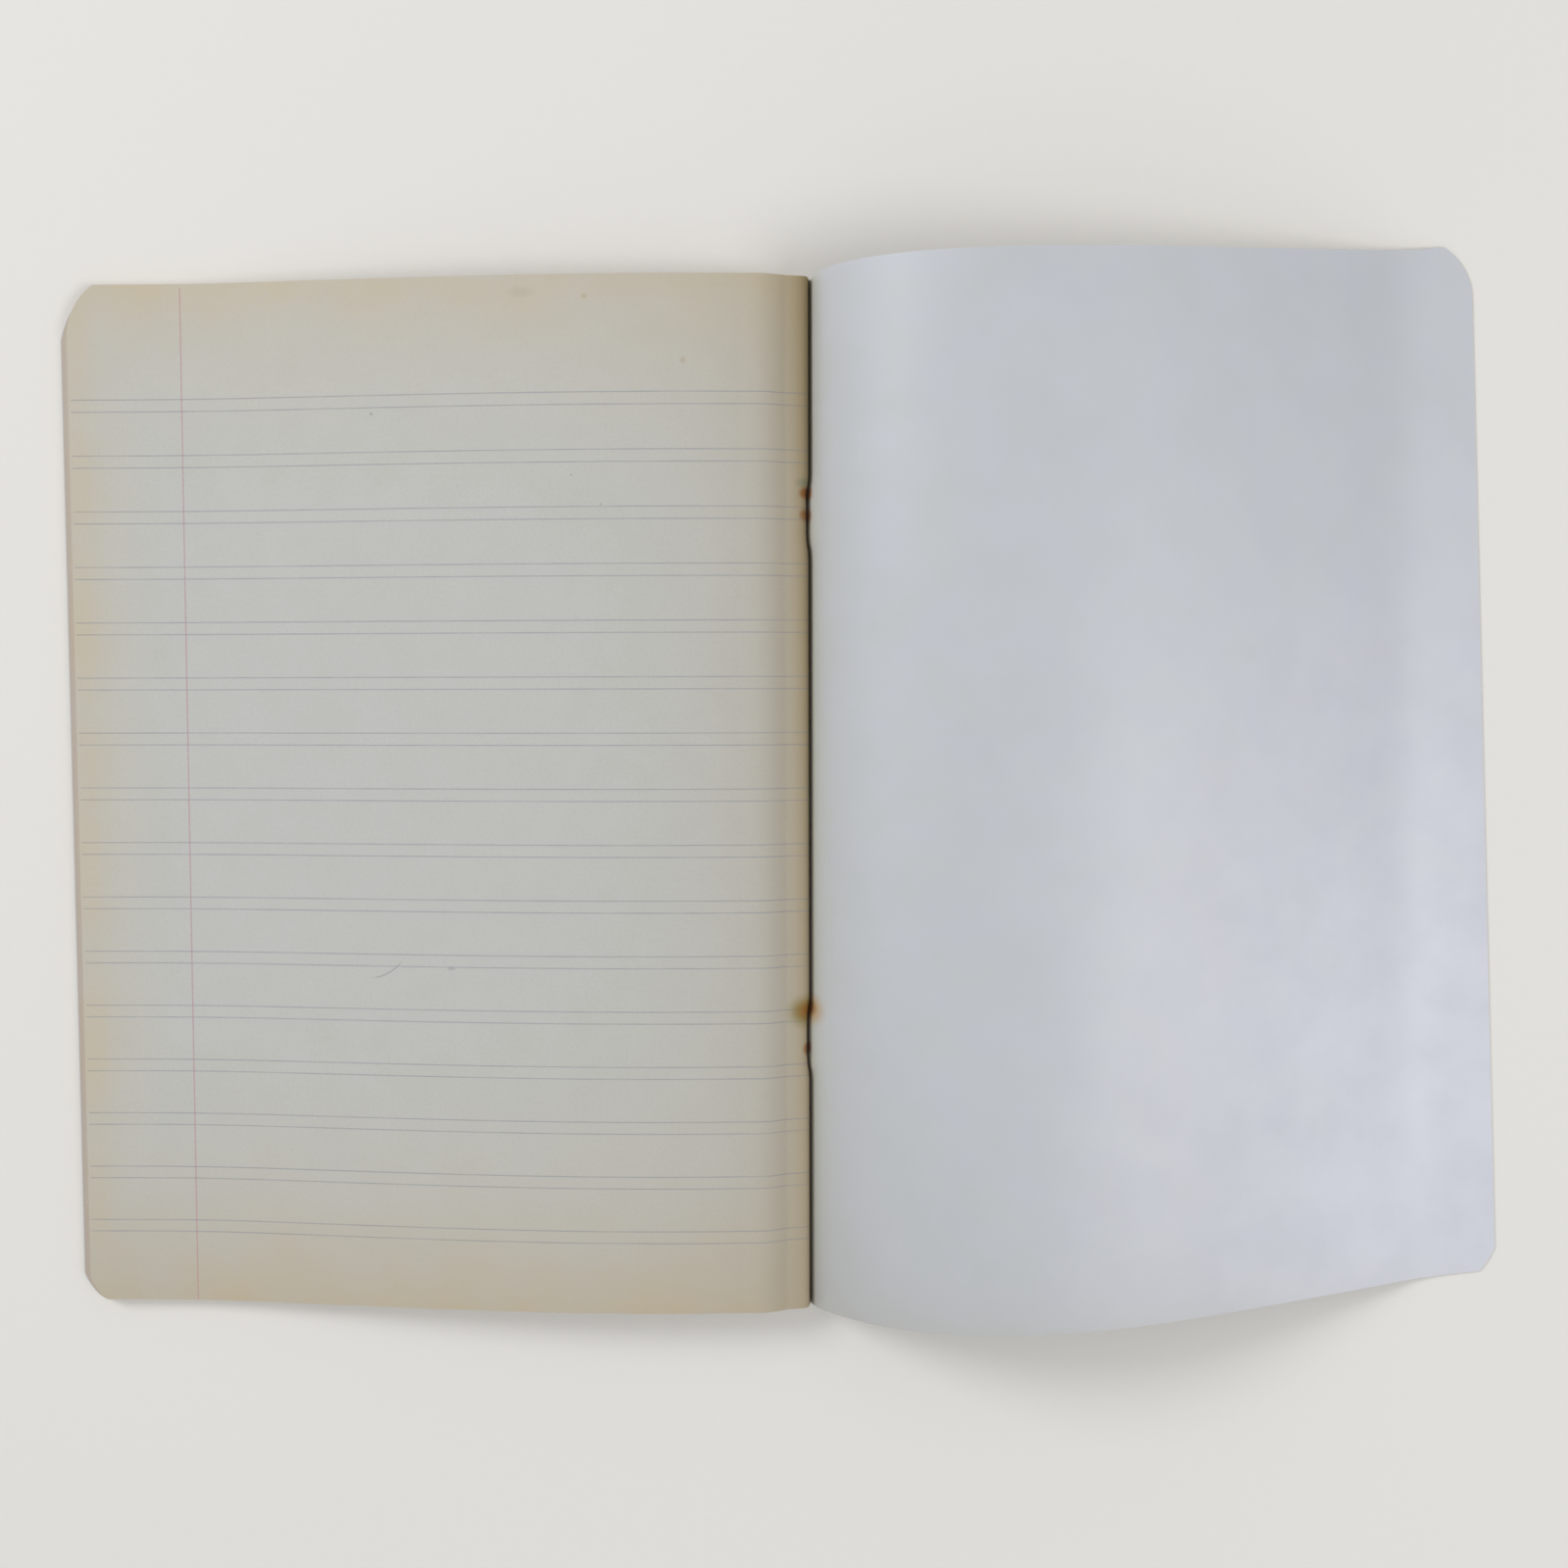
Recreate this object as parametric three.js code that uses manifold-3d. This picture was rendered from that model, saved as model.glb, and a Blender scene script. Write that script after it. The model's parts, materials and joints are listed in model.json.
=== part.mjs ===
// Stapled school notebook lying open at its last leaf. Millimetres, +Z up.
// The ruled leaves and the front cover lie to the left of the spine, the back
// cover rises in an arch to the right and comes down on its fore edge.
import * as THREE from 'three';
import Module from 'manifold-3d';
import { mergeVertices } from 'three/addons/utils/BufferGeometryUtils.js';

const wasm = await Module();
wasm.setup();
const { Manifold } = wasm;

// Page and stock
const page_width = 156.5;
const page_height = 215;
const sheet_count = 12;
const paper_thickness = 0.09;
const leaf_clearance = 0.01;
const card_thickness = 0.3;

// Cut corners of the fore edge, seen with the fore edge on the outside
const top_cut_across = 5.6;
const top_cut_down = 10.8;
const bottom_cut_across = 3.4;
const bottom_cut_down = 5.0;
const bottom_cut_radius = 13;

// Fore edges of the lowest and the top leaf, in from the edge of the front cover
const low_edge_inset = 0.2;
const high_edge_inset = 1.9;

// Spine fold
const fold_inner_radius = 0.55;
const fold_to_leaf_gap = 0.1;
const fold_to_cover_gap = 0.2;
const spine_lift = 1.0;
const spine_lift_reach = 30;
const gutter_offset = 0.05;
const low_leaf_heading = 184;
const high_leaf_heading = 150;
const root_blend_reach = 11;

// Swell of the leaves beside the spine: share of the page width, share of the swell
const swell_height = 7.25;
const swell_shape = [
  [0, 0.36],
  [0.03, 0.55],
  [0.06, 0.71],
  [0.1, 0.86],
  [0.15, 0.96],
  [0.2, 1],
  [0.3, 0.98],
  [0.4, 0.87],
  [0.5, 0.7],
  [0.6, 0.49],
  [0.7, 0.26],
  [0.78, 0.09],
  [0.86, 0],
  [1, 0],
];

// Arch of the back cover: share of its width, heading at the top and the bottom edge
const cover_start_angle = -24;
const arch_headings = [
  [0, 66, 66],
  [0.04, 77, 46],
  [0.09, 53, 38],
  [0.17, 30, 20],
  [0.27, 11, 2],
  [0.39, -4, -9],
  [0.52, -16, -16],
  [0.645, -22, -17],
  [0.775, -26, -15],
  [0.865, -30, -14],
  [0.93, -13, -2],
  [1, -2, -0.5],
];
const fore_edge_drift = 6.9;
const drift_start = 0.26;
const panel_breaks = [0.02, 0.1, 0.235, 0.49];
const panel_gap = 0.04;

// Last leaf is made of a root strip and the leaf beyond it
const last_leaf_break = 16;
const last_leaf_gap = 0.04;

// Staples
const wire_diameter = 0.45;
const wire_clearance = 0.01;
const crown_length = 12.5;
const staple_from_top = 48.7;
const staple_from_bottom = 57.2;
const staple_angle = -55;
const leg_tip_gap = 3;
const bend_radius = 0.25;

const RAD = Math.PI / 180;
const half_height = page_height / 2;
const leaf_count = sheet_count * 2;
const pitch = paper_thickness + leaf_clearance;
const outer_fold_radius = fold_inner_radius + pitch * (sheet_count - 1);
const fold_end_radius = outer_fold_radius + paper_thickness / 2 + leaf_clearance;
const leaf_start_radius = fold_end_radius + fold_to_leaf_gap;
const cover_inner_radius = outer_fold_radius + paper_thickness / 2 + fold_to_cover_gap;
const cover_radius = cover_inner_radius + card_thickness / 2;
const cover_outer_radius = cover_inner_radius + card_thickness;
const crown_radius = cover_outer_radius + wire_clearance + wire_diameter / 2;
const fold_x = -(outer_fold_radius + paper_thickness / 2 + gutter_offset);
const fold_z = spine_lift + cover_outer_radius;

// Both halves of the cover measure one page width from the line of the staples
const front_arc = cover_radius * (staple_angle - low_leaf_heading + 270) * RAD;
const back_arc = cover_radius * (cover_start_angle - staple_angle) * RAD;
const front_length = page_width - front_arc;
const arch_length = page_width - back_arc;

function smooth(t) {
  const c = Math.min(1, Math.max(0, t));
  return c * c * (3 - 2 * c);
}

// Smooth curve through a list of points, with the slope at each taken from its neighbours
function curveAt(points, x, column) {
  const n = points.length;
  if (x <= points[0][0]) return points[0][column];
  if (x >= points[n - 1][0]) return points[n - 1][column];
  let i = 0;
  while (x > points[i + 1][0]) i += 1;
  const slope = (k) => {
    const a = points[Math.max(0, k - 1)];
    const b = points[Math.min(n - 1, k + 1)];
    return (b[column] - a[column]) / (b[0] - a[0]);
  };
  const span = points[i + 1][0] - points[i][0];
  const t = (x - points[i][0]) / span;
  const h1 = t * t * (3 - 2 * t);
  const h2 = t * (1 - t) * (1 - t);
  const h3 = t * t * (t - 1);
  const value = points[i][column] * (1 - h1) + points[i + 1][column] * h1;
  return value + span * (h2 * slope(i) + h3 * slope(i + 1));
}

// How far the outline has come in from the page corner, at a distance from the fore edge
function cutDepth(d, across, down, radius) {
  if (d >= across) return 0;
  const chord = Math.hypot(across, down);
  const rise = Math.sqrt(radius * radius - (chord * chord) / 4);
  const cx = across / 2 + (rise * down) / chord;
  const cy = down / 2 + (rise * across) / chord;
  return cy - Math.sqrt(Math.max(0, radius * radius - (cx - d) * (cx - d)));
}

// The upper cut runs into the fore edge without an angle, which gives its radius
const top_cut_radius = (top_cut_across ** 2 + top_cut_down ** 2) / (2 * top_cut_across);

function topCut(d) {
  return cutDepth(d, top_cut_across, top_cut_down, top_cut_radius);
}

function bottomCut(d) {
  return cutDepth(d, bottom_cut_across, bottom_cut_down, bottom_cut_radius);
}

const corner_columns = [1, 0.78, 0.61, 0.42, 0.25, 0.11, 0.03, 0].map((f) => f * top_cut_across);
corner_columns.splice(3, 0, bottom_cut_across);
corner_columns.sort((a, b) => b - a);

// One closed thin plate from columns. Every column gives its upper and lower end
// as a point on the middle surface and the direction of the thickness there.
function plate(columns, thickness) {
  const position = [];
  const index = [];
  const h = thickness / 2;
  for (const c of columns) {
    for (const side of [1, -1]) {
      for (const end of [c.top, c.bottom]) {
        position.push(end.p[0] + side * h * end.n[0]);
        position.push(end.p[1] + side * h * end.n[1]);
        position.push(end.p[2] + side * h * end.n[2]);
      }
    }
  }
  const quad = (a, b, c, d) => index.push(a, b, c, a, c, d);
  const last = columns.length - 1;
  for (let i = 0; i < last; i += 1) {
    const a = i * 4;
    const b = a + 4;
    quad(a, a + 1, b + 1, b);
    quad(a + 2, b + 2, b + 3, a + 3);
    quad(a, b, b + 2, a + 2);
    quad(a + 1, a + 3, b + 3, b + 1);
  }
  const e = last * 4;
  quad(0, 2, 3, 1);
  quad(e, e + 1, e + 3, e + 2);
  const geometry = new THREE.BufferGeometry();
  geometry.setAttribute('position', new THREE.Float32BufferAttribute(position, 3));
  geometry.setIndex(index);
  return faceOut(geometry);
}

// Turns all faces over when the closed body encloses a negative volume
function faceOut(geometry) {
  const p = geometry.attributes.position;
  const idx = geometry.index.array;
  let volume = 0;
  const a = new THREE.Vector3();
  const b = new THREE.Vector3();
  const c = new THREE.Vector3();
  for (let i = 0; i < idx.length; i += 3) {
    a.fromBufferAttribute(p, idx[i]);
    b.fromBufferAttribute(p, idx[i + 1]);
    c.fromBufferAttribute(p, idx[i + 2]);
    volume += a.dot(b.clone().cross(c));
  }
  if (volume < 0) {
    for (let i = 0; i < idx.length; i += 3) {
      const swap = idx[i + 1];
      idx[i + 1] = idx[i + 2];
      idx[i + 2] = swap;
    }
  }
  return geometry;
}

// Raised part of everything that rests on the table, next to the spine
function lift(x) {
  return spine_lift * (1 - smooth(-x / spine_lift_reach));
}

function foldRadius(leaf) {
  const sheet = leaf <= sheet_count ? leaf : leaf_count + 1 - leaf;
  return fold_inner_radius + pitch * (sheet_count - sheet);
}

function leafHeading(leaf) {
  const share = (leaf - 1) / (leaf_count - 1);
  return low_leaf_heading + (high_leaf_heading - low_leaf_heading) * share;
}

// Point where the straight root of a leaf passes a circle around the fold
function rootPoint(leaf, radius) {
  const side = leaf <= sheet_count ? 1 : -1;
  const swing = Math.asin(foldRadius(leaf) / radius);
  const angle = leafHeading(leaf) * RAD + side * swing;
  return [fold_x + radius * Math.cos(angle), fold_z + radius * Math.sin(angle)];
}

function restHeight(leaf, x) {
  const share = (leaf - 1) / (leaf_count - 1);
  const lowest = card_thickness + leaf_clearance + paper_thickness / 2 + lift(x);
  const swell = swell_height * curveAt(swell_shape, -x / page_width, 1);
  return lowest + (leaf - 1) * pitch + share * swell;
}

function leafHeight(leaf, x) {
  const root = rootPoint(leaf, leaf_start_radius);
  const slope = Math.tan((180 - leafHeading(leaf)) * RAD);
  const straight = root[1] + slope * (root[0] - x);
  const w = smooth((fold_x - leaf_start_radius - x) / root_blend_reach);
  return (1 - w) * straight + w * restHeight(leaf, x);
}

function frontCoverHeight(x) {
  const start = coverPoint(low_leaf_heading + 90, cover_radius);
  const slope = Math.tan((180 - low_leaf_heading) * RAD);
  const straight = start[1] + slope * (start[0] - x);
  const w = smooth((fold_x - leaf_start_radius - x) / root_blend_reach);
  return (1 - w) * straight + w * (card_thickness / 2 + lift(x));
}

function coverPoint(angle, radius) {
  return [fold_x + radius * Math.cos(angle * RAD), fold_z + radius * Math.sin(angle * RAD)];
}

// Length along a height curve, measured leftwards from its start, in short steps
function walk(height, start, length) {
  const steps = [[start, 0]];
  const step = 0.1;
  let x = start;
  let s = 0;
  while (s < length) {
    const next = x - step;
    s += Math.hypot(step, height(next) - height(x));
    x = next;
    steps.push([x, s]);
  }
  return steps;
}

function xAtLength(steps, s) {
  let i = 1;
  while (i < steps.length - 1 && steps[i][1] < s) i += 1;
  const a = steps[i - 1];
  const b = steps[i];
  return a[0] + ((b[0] - a[0]) * (s - a[1])) / (b[1] - a[1]);
}

const bend_columns = [0.7, 1.4, 2.2, 3.2, 4.4, 6, 8, 10.2, 12.6, 16, 20, 24.5, 30];
const long_columns = [36, 43, 51, 60, 69, 78, 88, 98, 109, 116, 122, 128, 134];

// Sheet to the left of the spine, of a given length from a start point
function leftPlate(height, start, length, stations, thickness, from, to) {
  const steps = walk(height, start, length);
  const end = xAtLength(steps, length);
  const xs = [start];
  const first_corner = xAtLength(steps, length - top_cut_across);
  for (const d of stations) {
    const x = fold_x - d;
    if (x < start - 0.2 && x > first_corner + 1) xs.push(x);
  }
  const rows = xs.map((x) => [x, top_cut_across + 1]);
  for (const d of corner_columns) rows.push([xAtLength(steps, length - d), d]);
  rows[rows.length - 1][0] = end;
  let kept = rows;
  if (to !== undefined) kept = rows.filter((r) => r[0] > to + 0.3).concat([[to, 99]]);
  if (from !== undefined) kept = [[from, 99]].concat(rows.filter((r) => r[0] < from - 0.3));
  const columns = kept.map(([x, d]) => {
    const e = 0.02;
    const one_way = x >= start ? 0 : e;
    const rise = (height(x - e) - height(x + one_way)) / (e + one_way);
    const m = Math.hypot(1, rise);
    const n = [rise / m, 0, 1 / m];
    const z = height(x);
    const top = { p: [x, half_height - topCut(d), z], n };
    const bottom = { p: [x, -half_height + bottomCut(d), z], n };
    return { top, bottom };
  });
  return plate(columns, thickness);
}

// Length of a leaf from its root to the place of its fore edge over the front cover
function leafLength(leaf) {
  const share = (leaf - 1) / (leaf_count - 1);
  const inset = low_edge_inset + (high_edge_inset - low_edge_inset) * share;
  const start = rootPoint(leaf, leaf_start_radius)[0];
  const end = front_edge + inset;
  const steps = walk((x) => leafHeight(leaf, x), start, 2 * page_width);
  let i = 1;
  while (steps[i][0] > end) i += 1;
  const a = steps[i - 1];
  const b = steps[i];
  return a[1] + ((b[1] - a[1]) * (a[0] - end)) / (a[0] - b[0]);
}

const front_start = coverPoint(low_leaf_heading + 90, cover_radius)[0] - panel_gap;
const front_edge = xAtLength(walk(frontCoverHeight, front_start, front_length), front_length);

function leafPlate(leaf, from, to) {
  const start = rootPoint(leaf, leaf_start_radius)[0];
  const height = (x) => leafHeight(leaf, x);
  const stations = bend_columns.concat(long_columns);
  return leftPlate(height, start, leafLength(leaf), stations, paper_thickness, from, to);
}

// The fold of one sheet: root of the lower leaf, round bend, root of the upper leaf
function foldPath(sheet) {
  const upper = leaf_count + 1 - sheet;
  const r = foldRadius(sheet);
  const from = leafHeading(sheet) + 90;
  const to = leafHeading(upper) - 90 + 360;
  const path = [rootPoint(sheet, fold_end_radius)];
  const count = 12;
  for (let i = 0; i <= count; i += 1) path.push(coverPoint(from + ((to - from) * i) / count, r));
  path.push(rootPoint(upper, fold_end_radius));
  return path;
}

// A strip that keeps one cross section over the full page height
function stripPlate(path, thickness) {
  const n = path.length;
  const columns = path.map((p, i) => {
    const a = path[Math.max(0, i - 1)];
    const b = path[Math.min(n - 1, i + 1)];
    const m = Math.hypot(b[0] - a[0], b[1] - a[1]);
    const normal = [-(b[1] - a[1]) / m, 0, (b[0] - a[0]) / m];
    const top = { p: [p[0], half_height, p[1]], n: normal };
    const bottom = { p: [p[0], -half_height, p[1]], n: normal };
    return { top, bottom };
  });
  return plate(columns, thickness);
}

function toSolid(geometry) {
  const g = geometry.clone();
  g.deleteAttribute('normal');
  g.deleteAttribute('uv');
  const merged = mergeVertices(g, 1e-5);
  const vertProperties = new Float32Array(merged.attributes.position.array);
  const triVerts = new Uint32Array(merged.index.array);
  return new Manifold(new wasm.Mesh({ numProp: 3, vertProperties, triVerts }));
}

function fromSolid(solid) {
  const mesh = solid.getMesh();
  const geometry = new THREE.BufferGeometry();
  const position = new Float32Array(mesh.vertProperties);
  geometry.setAttribute('position', new THREE.BufferAttribute(position, 3));
  geometry.setIndex(new THREE.BufferAttribute(new Uint32Array(mesh.triVerts), 1));
  return geometry;
}

const staple_centres = [half_height - staple_from_top, -half_height + staple_from_bottom];

// Round holes through the folds, where the staple legs pass
function pierce(geometry) {
  const reach = cover_outer_radius + 1;
  const drill = [];
  for (const centre of staple_centres) {
    for (const side of [-1, 1]) {
      const leg = new THREE.CylinderGeometry(
        wire_diameter / 2 + wire_clearance,
        wire_diameter / 2 + wire_clearance,
        reach,
        12,
      );
      leg.translate(0, reach / 2, 0);
      const out = new THREE.Vector3(Math.cos(staple_angle * RAD), 0, Math.sin(staple_angle * RAD));
      const turn = new THREE.Quaternion().setFromUnitVectors(new THREE.Vector3(0, 1, 0), out);
      leg.applyQuaternion(turn);
      leg.translate(fold_x, centre + side * legOffset(), fold_z);
      drill.push(toSolid(leg));
    }
  }
  const holes = Manifold.union(drill);
  return fromSolid(toSolid(geometry).subtract(holes));
}

function legOffset() {
  return (crown_length - wire_diameter) / 2;
}

// Staple wire: crown outside the cover, legs through the folds, tips bent in along the fold
function staple(centre) {
  const y = legOffset();
  const r = bend_radius;
  const corners = [
    [-y, 0],
    [-y, crown_radius],
    [y, crown_radius],
    [y, 0],
  ];
  const path = [[-leg_tip_gap / 2, 0]];
  for (let i = 0; i < corners.length; i += 1) {
    const before = i === 0 ? [-leg_tip_gap / 2, 0] : corners[i - 1];
    const after = i === corners.length - 1 ? [leg_tip_gap / 2, 0] : corners[i + 1];
    const c = corners[i];
    const unit = (a, b) => {
      const m = Math.hypot(b[0] - a[0], b[1] - a[1]);
      return [(b[0] - a[0]) / m, (b[1] - a[1]) / m];
    };
    const u = unit(c, before);
    const v = unit(c, after);
    for (let k = 0; k <= 4; k += 1) {
      const t = (k * 90) / 4;
      const a = r * (1 - Math.sin(t * RAD));
      const b = r * (1 - Math.cos(t * RAD));
      path.push([c[0] + u[0] * a + v[0] * b, c[1] + u[1] * a + v[1] * b]);
    }
  }
  path.push([leg_tip_gap / 2, 0]);
  const sides = 12;
  const position = [];
  const index = [];
  const out = [Math.cos(staple_angle * RAD), Math.sin(staple_angle * RAD)];
  const n = path.length;
  for (let i = 0; i < n; i += 1) {
    const a = path[Math.max(0, i - 1)];
    const b = path[Math.min(n - 1, i + 1)];
    const m = Math.hypot(b[0] - a[0], b[1] - a[1]);
    const normal = [-(b[1] - a[1]) / m, (b[0] - a[0]) / m];
    for (let k = 0; k < sides; k += 1) {
      const f = ((k + 0.5) / sides) * 2 * Math.PI;
      const p = (wire_diameter / 2) * Math.cos(f);
      const q = (wire_diameter / 2) * Math.sin(f);
      const along = path[i][0] + p * normal[0];
      const deep = path[i][1] + p * normal[1];
      position.push(fold_x + deep * out[0] - q * out[1]);
      position.push(centre + along);
      position.push(fold_z + deep * out[1] + q * out[0]);
    }
  }
  for (let i = 0; i < n - 1; i += 1) {
    for (let k = 0; k < sides; k += 1) {
      const a = i * sides + k;
      const b = i * sides + ((k + 1) % sides);
      index.push(a, b, b + sides, a, b + sides, a + sides);
    }
  }
  for (let k = 1; k < sides - 1; k += 1) {
    index.push(0, k + 1, k);
    const e = (n - 1) * sides;
    index.push(e, e + k, e + k + 1);
  }
  const geometry = new THREE.BufferGeometry();
  geometry.setAttribute('position', new THREE.Float32BufferAttribute(position, 3));
  geometry.setIndex(index);
  return faceOut(geometry);
}

// Edge curve of the back cover from its headings. All headings but the first are
// eased by one small angle until the fore edge comes down on the table.
function archCurve(column) {
  const start = coverPoint(cover_start_angle, cover_radius);
  const steps = 310;
  const run = (ease) => {
    const points = [[start[0], start[1], 0]];
    let x = start[0];
    let z = start[1];
    for (let i = 0; i < steps; i += 1) {
      const u = (i + 0.5) / steps;
      const settle = Math.min(1, u / 0.12);
      const heading = curveAt(arch_headings, u, column) + ease * settle;
      x += (Math.cos(heading * RAD) * arch_length) / steps;
      z += (Math.sin(heading * RAD) * arch_length) / steps;
      points.push([x, z, (i + 1) / steps]);
    }
    return points;
  };
  let low = -30;
  let high = 30;
  for (let i = 0; i < 40; i += 1) {
    const mid = (low + high) / 2;
    const end = run(mid)[steps];
    if (end[1] < card_thickness / 2 + 0.02) low = mid;
    else high = mid;
  }
  return run((low + high) / 2);
}

const arch_top = archCurve(1);
const arch_bottom = archCurve(2);

function archPoint(curve, u) {
  const f = Math.min(1, Math.max(0, u)) * (curve.length - 1);
  const i = Math.min(curve.length - 2, Math.floor(f));
  const t = f - i;
  const a = curve[i];
  const b = curve[i + 1];
  const before = curve[Math.max(0, i - 1)];
  const after = curve[Math.min(curve.length - 1, i + 2)];
  const m = Math.hypot(after[0] - before[0], after[1] - before[1]);
  const n = [-(after[1] - before[1]) / m, 0, (after[0] - before[0]) / m];
  return { x: a[0] + (b[0] - a[0]) * t, z: a[1] + (b[1] - a[1]) * t, n };
}

// Both ends of one ruling of the back cover's middle surface
function ruling(u) {
  const t = archPoint(arch_top, u);
  const b = archPoint(arch_bottom, u);
  const q = Math.max(0, (u - drift_start) / (1 - drift_start));
  const drift = fore_edge_drift * q * q;
  const lean = (t.x - b.x) ** 2 + (t.z - b.z) ** 2;
  const reach = Math.sqrt(page_height ** 2 - lean) / 2;
  return {
    top: { p: [t.x, drift + reach, t.z], n: t.n },
    bottom: { p: [b.x, drift - reach, b.z], n: b.n },
  };
}

function along(r, down_from_top, up_from_bottom) {
  const mix = (a, b, f) => [0, 1, 2].map((k) => a[k] + (b[k] - a[k]) * f);
  const f = down_from_top / page_height;
  const g = up_from_bottom / page_height;
  return {
    top: { p: mix(r.top.p, r.bottom.p, f), n: mix(r.top.n, r.bottom.n, f) },
    bottom: { p: mix(r.bottom.p, r.top.p, g), n: mix(r.bottom.n, r.top.n, g) },
  };
}

const arch_stations = [
  0, 0.007, 0.014, 0.03, 0.042, 0.055, 0.07, 0.11, 0.13, 0.15, 0.175, 0.2, 0.26, 0.29,
  0.33, 0.37, 0.41, 0.45, 0.54, 0.6, 0.67, 0.74, 0.81, 0.87, 0.92,
];

// Part of the back cover between two shares of its width
function backPanel(from, to) {
  const gap = panel_gap / 2 / arch_length;
  const a = from === 0 ? 2 * gap : from + gap;
  const b = to === 1 ? 1 : to - gap;
  const first_corner = 1 - top_cut_across / arch_length;
  const us = [a];
  for (const u of arch_stations) if (u > a + 0.003 && u < b - 0.003 && u < first_corner) us.push(u);
  if (to === 1) for (const d of corner_columns) us.push(1 - d / arch_length);
  else us.push(b);
  const columns = us.map((u) => {
    const d = (1 - u) * arch_length;
    return along(ruling(u), topCut(d), bottomCut(d));
  });
  return plate(columns, card_thickness);
}

function arcPath(from, to, radius, count) {
  const path = [];
  for (let i = 0; i <= count; i += 1) path.push(coverPoint(from + ((to - from) * i) / count, radius));
  return path;
}

const group = new THREE.Group();
group.name = 'notebook';

const materials = {
  page: { color: '#c2c3bc', roughness: 0.9, metalness: 0 },
  leaf: { color: '#c4c0b2', roughness: 0.92, metalness: 0 },
  fold: { color: '#a39a7c', roughness: 0.95, metalness: 0 },
  cover_inside: { color: '#bec2c6', roughness: 0.78, metalness: 0 },
  cover_outside: { color: '#c4c2bd', roughness: 0.6, metalness: 0 },
  steel: { color: '#8b8781', roughness: 0.42, metalness: 1 },
};

function add(name, geometry, look) {
  let g = geometry;
  if (g.index) g = g.toNonIndexed();
  g.computeVertexNormals();
  const m = materials[look];
  const material = new THREE.MeshStandardMaterial({ ...m, name: look });
  const mesh = new THREE.Mesh(g, material);
  mesh.name = name;
  group.add(mesh);
}

add(
  'front_cover',
  leftPlate(frontCoverHeight, front_start, front_length, bend_columns, card_thickness),
  'cover_outside',
);
const spine_arc = arcPath(low_leaf_heading - 270, cover_start_angle, cover_radius, 8);
add('cover_spine', pierce(stripPlate(spine_arc, card_thickness)), 'cover_outside');

const panel_names = [
  'back_cover_strip',
  'back_cover_root',
  'back_cover_rise',
  'back_cover_crest',
  'back_cover_outer',
];
const breaks = [0, ...panel_breaks, 1];
panel_names.forEach((name, i) => add(name, backPanel(breaks[i], breaks[i + 1]), 'cover_inside'));

for (let sheet = 1; sheet <= sheet_count; sheet += 1) {
  const label = String(sheet).padStart(2, '0');
  add(`sheet_fold_${label}`, pierce(stripPlate(foldPath(sheet), paper_thickness)), 'fold');
}

for (let leaf = 1; leaf < leaf_count; leaf += 1) {
  add(`leaf_${String(leaf).padStart(2, '0')}`, leafPlate(leaf), 'leaf');
}
const split = fold_x - last_leaf_break;
add('last_leaf_root', leafPlate(leaf_count, undefined, split + last_leaf_gap / 2), 'page');
add('last_leaf', leafPlate(leaf_count, split - last_leaf_gap / 2, undefined), 'page');

staple_centres.forEach((centre, i) => {
  add(i === 0 ? 'staple_upper' : 'staple_lower', staple(centre), 'steel');
});

// The origin is the middle of the underside of the whole box
const box = new THREE.Box3().setFromObject(group);
const shift = new THREE.Vector3(-(box.min.x + box.max.x) / 2, -(box.min.y + box.max.y) / 2, -box.min.z);
for (const mesh of group.children) mesh.geometry.translate(shift.x, shift.y, shift.z);

export default group;
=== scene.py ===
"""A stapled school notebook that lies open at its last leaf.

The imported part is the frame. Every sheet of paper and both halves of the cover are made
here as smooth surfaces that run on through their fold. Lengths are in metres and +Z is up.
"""

import json
import math
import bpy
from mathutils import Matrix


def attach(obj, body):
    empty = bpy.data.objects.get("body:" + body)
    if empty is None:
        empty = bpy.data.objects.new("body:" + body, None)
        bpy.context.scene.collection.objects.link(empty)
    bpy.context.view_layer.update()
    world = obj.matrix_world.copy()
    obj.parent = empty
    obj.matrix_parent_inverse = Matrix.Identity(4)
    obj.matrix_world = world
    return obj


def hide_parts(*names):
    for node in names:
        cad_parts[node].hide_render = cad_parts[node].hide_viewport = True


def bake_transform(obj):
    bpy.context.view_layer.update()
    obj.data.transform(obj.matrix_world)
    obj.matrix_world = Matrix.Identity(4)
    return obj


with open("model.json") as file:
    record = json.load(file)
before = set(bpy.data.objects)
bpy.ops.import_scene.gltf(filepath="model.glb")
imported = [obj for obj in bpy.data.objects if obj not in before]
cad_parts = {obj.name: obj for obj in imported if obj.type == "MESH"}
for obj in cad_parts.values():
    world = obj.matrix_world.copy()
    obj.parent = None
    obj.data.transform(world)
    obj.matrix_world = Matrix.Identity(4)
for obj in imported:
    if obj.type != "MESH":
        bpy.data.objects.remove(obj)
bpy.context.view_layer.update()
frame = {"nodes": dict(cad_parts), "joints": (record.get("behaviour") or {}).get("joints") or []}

from types import SimpleNamespace

import bpy
import numpy as np
from bpy.props import FloatProperty, FloatVectorProperty, IntProperty, PointerProperty
from mathutils import Euler, Vector

bl_info = {
    "name": "Stapled school notebook",
    "version": (1, 0, 0),
    "blender": (4, 5, 0),
    "location": "3D View > Sidebar > Notebook",
    "description": "Makes the leaves, the cover, the staples and the studio of an open notebook",
    "category": "Add Mesh",
}

MM = 0.001
FOLD_AXIS = next(j["pos_m"] for j in frame["joints"] if j["name"] == "leaf_fan")

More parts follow.
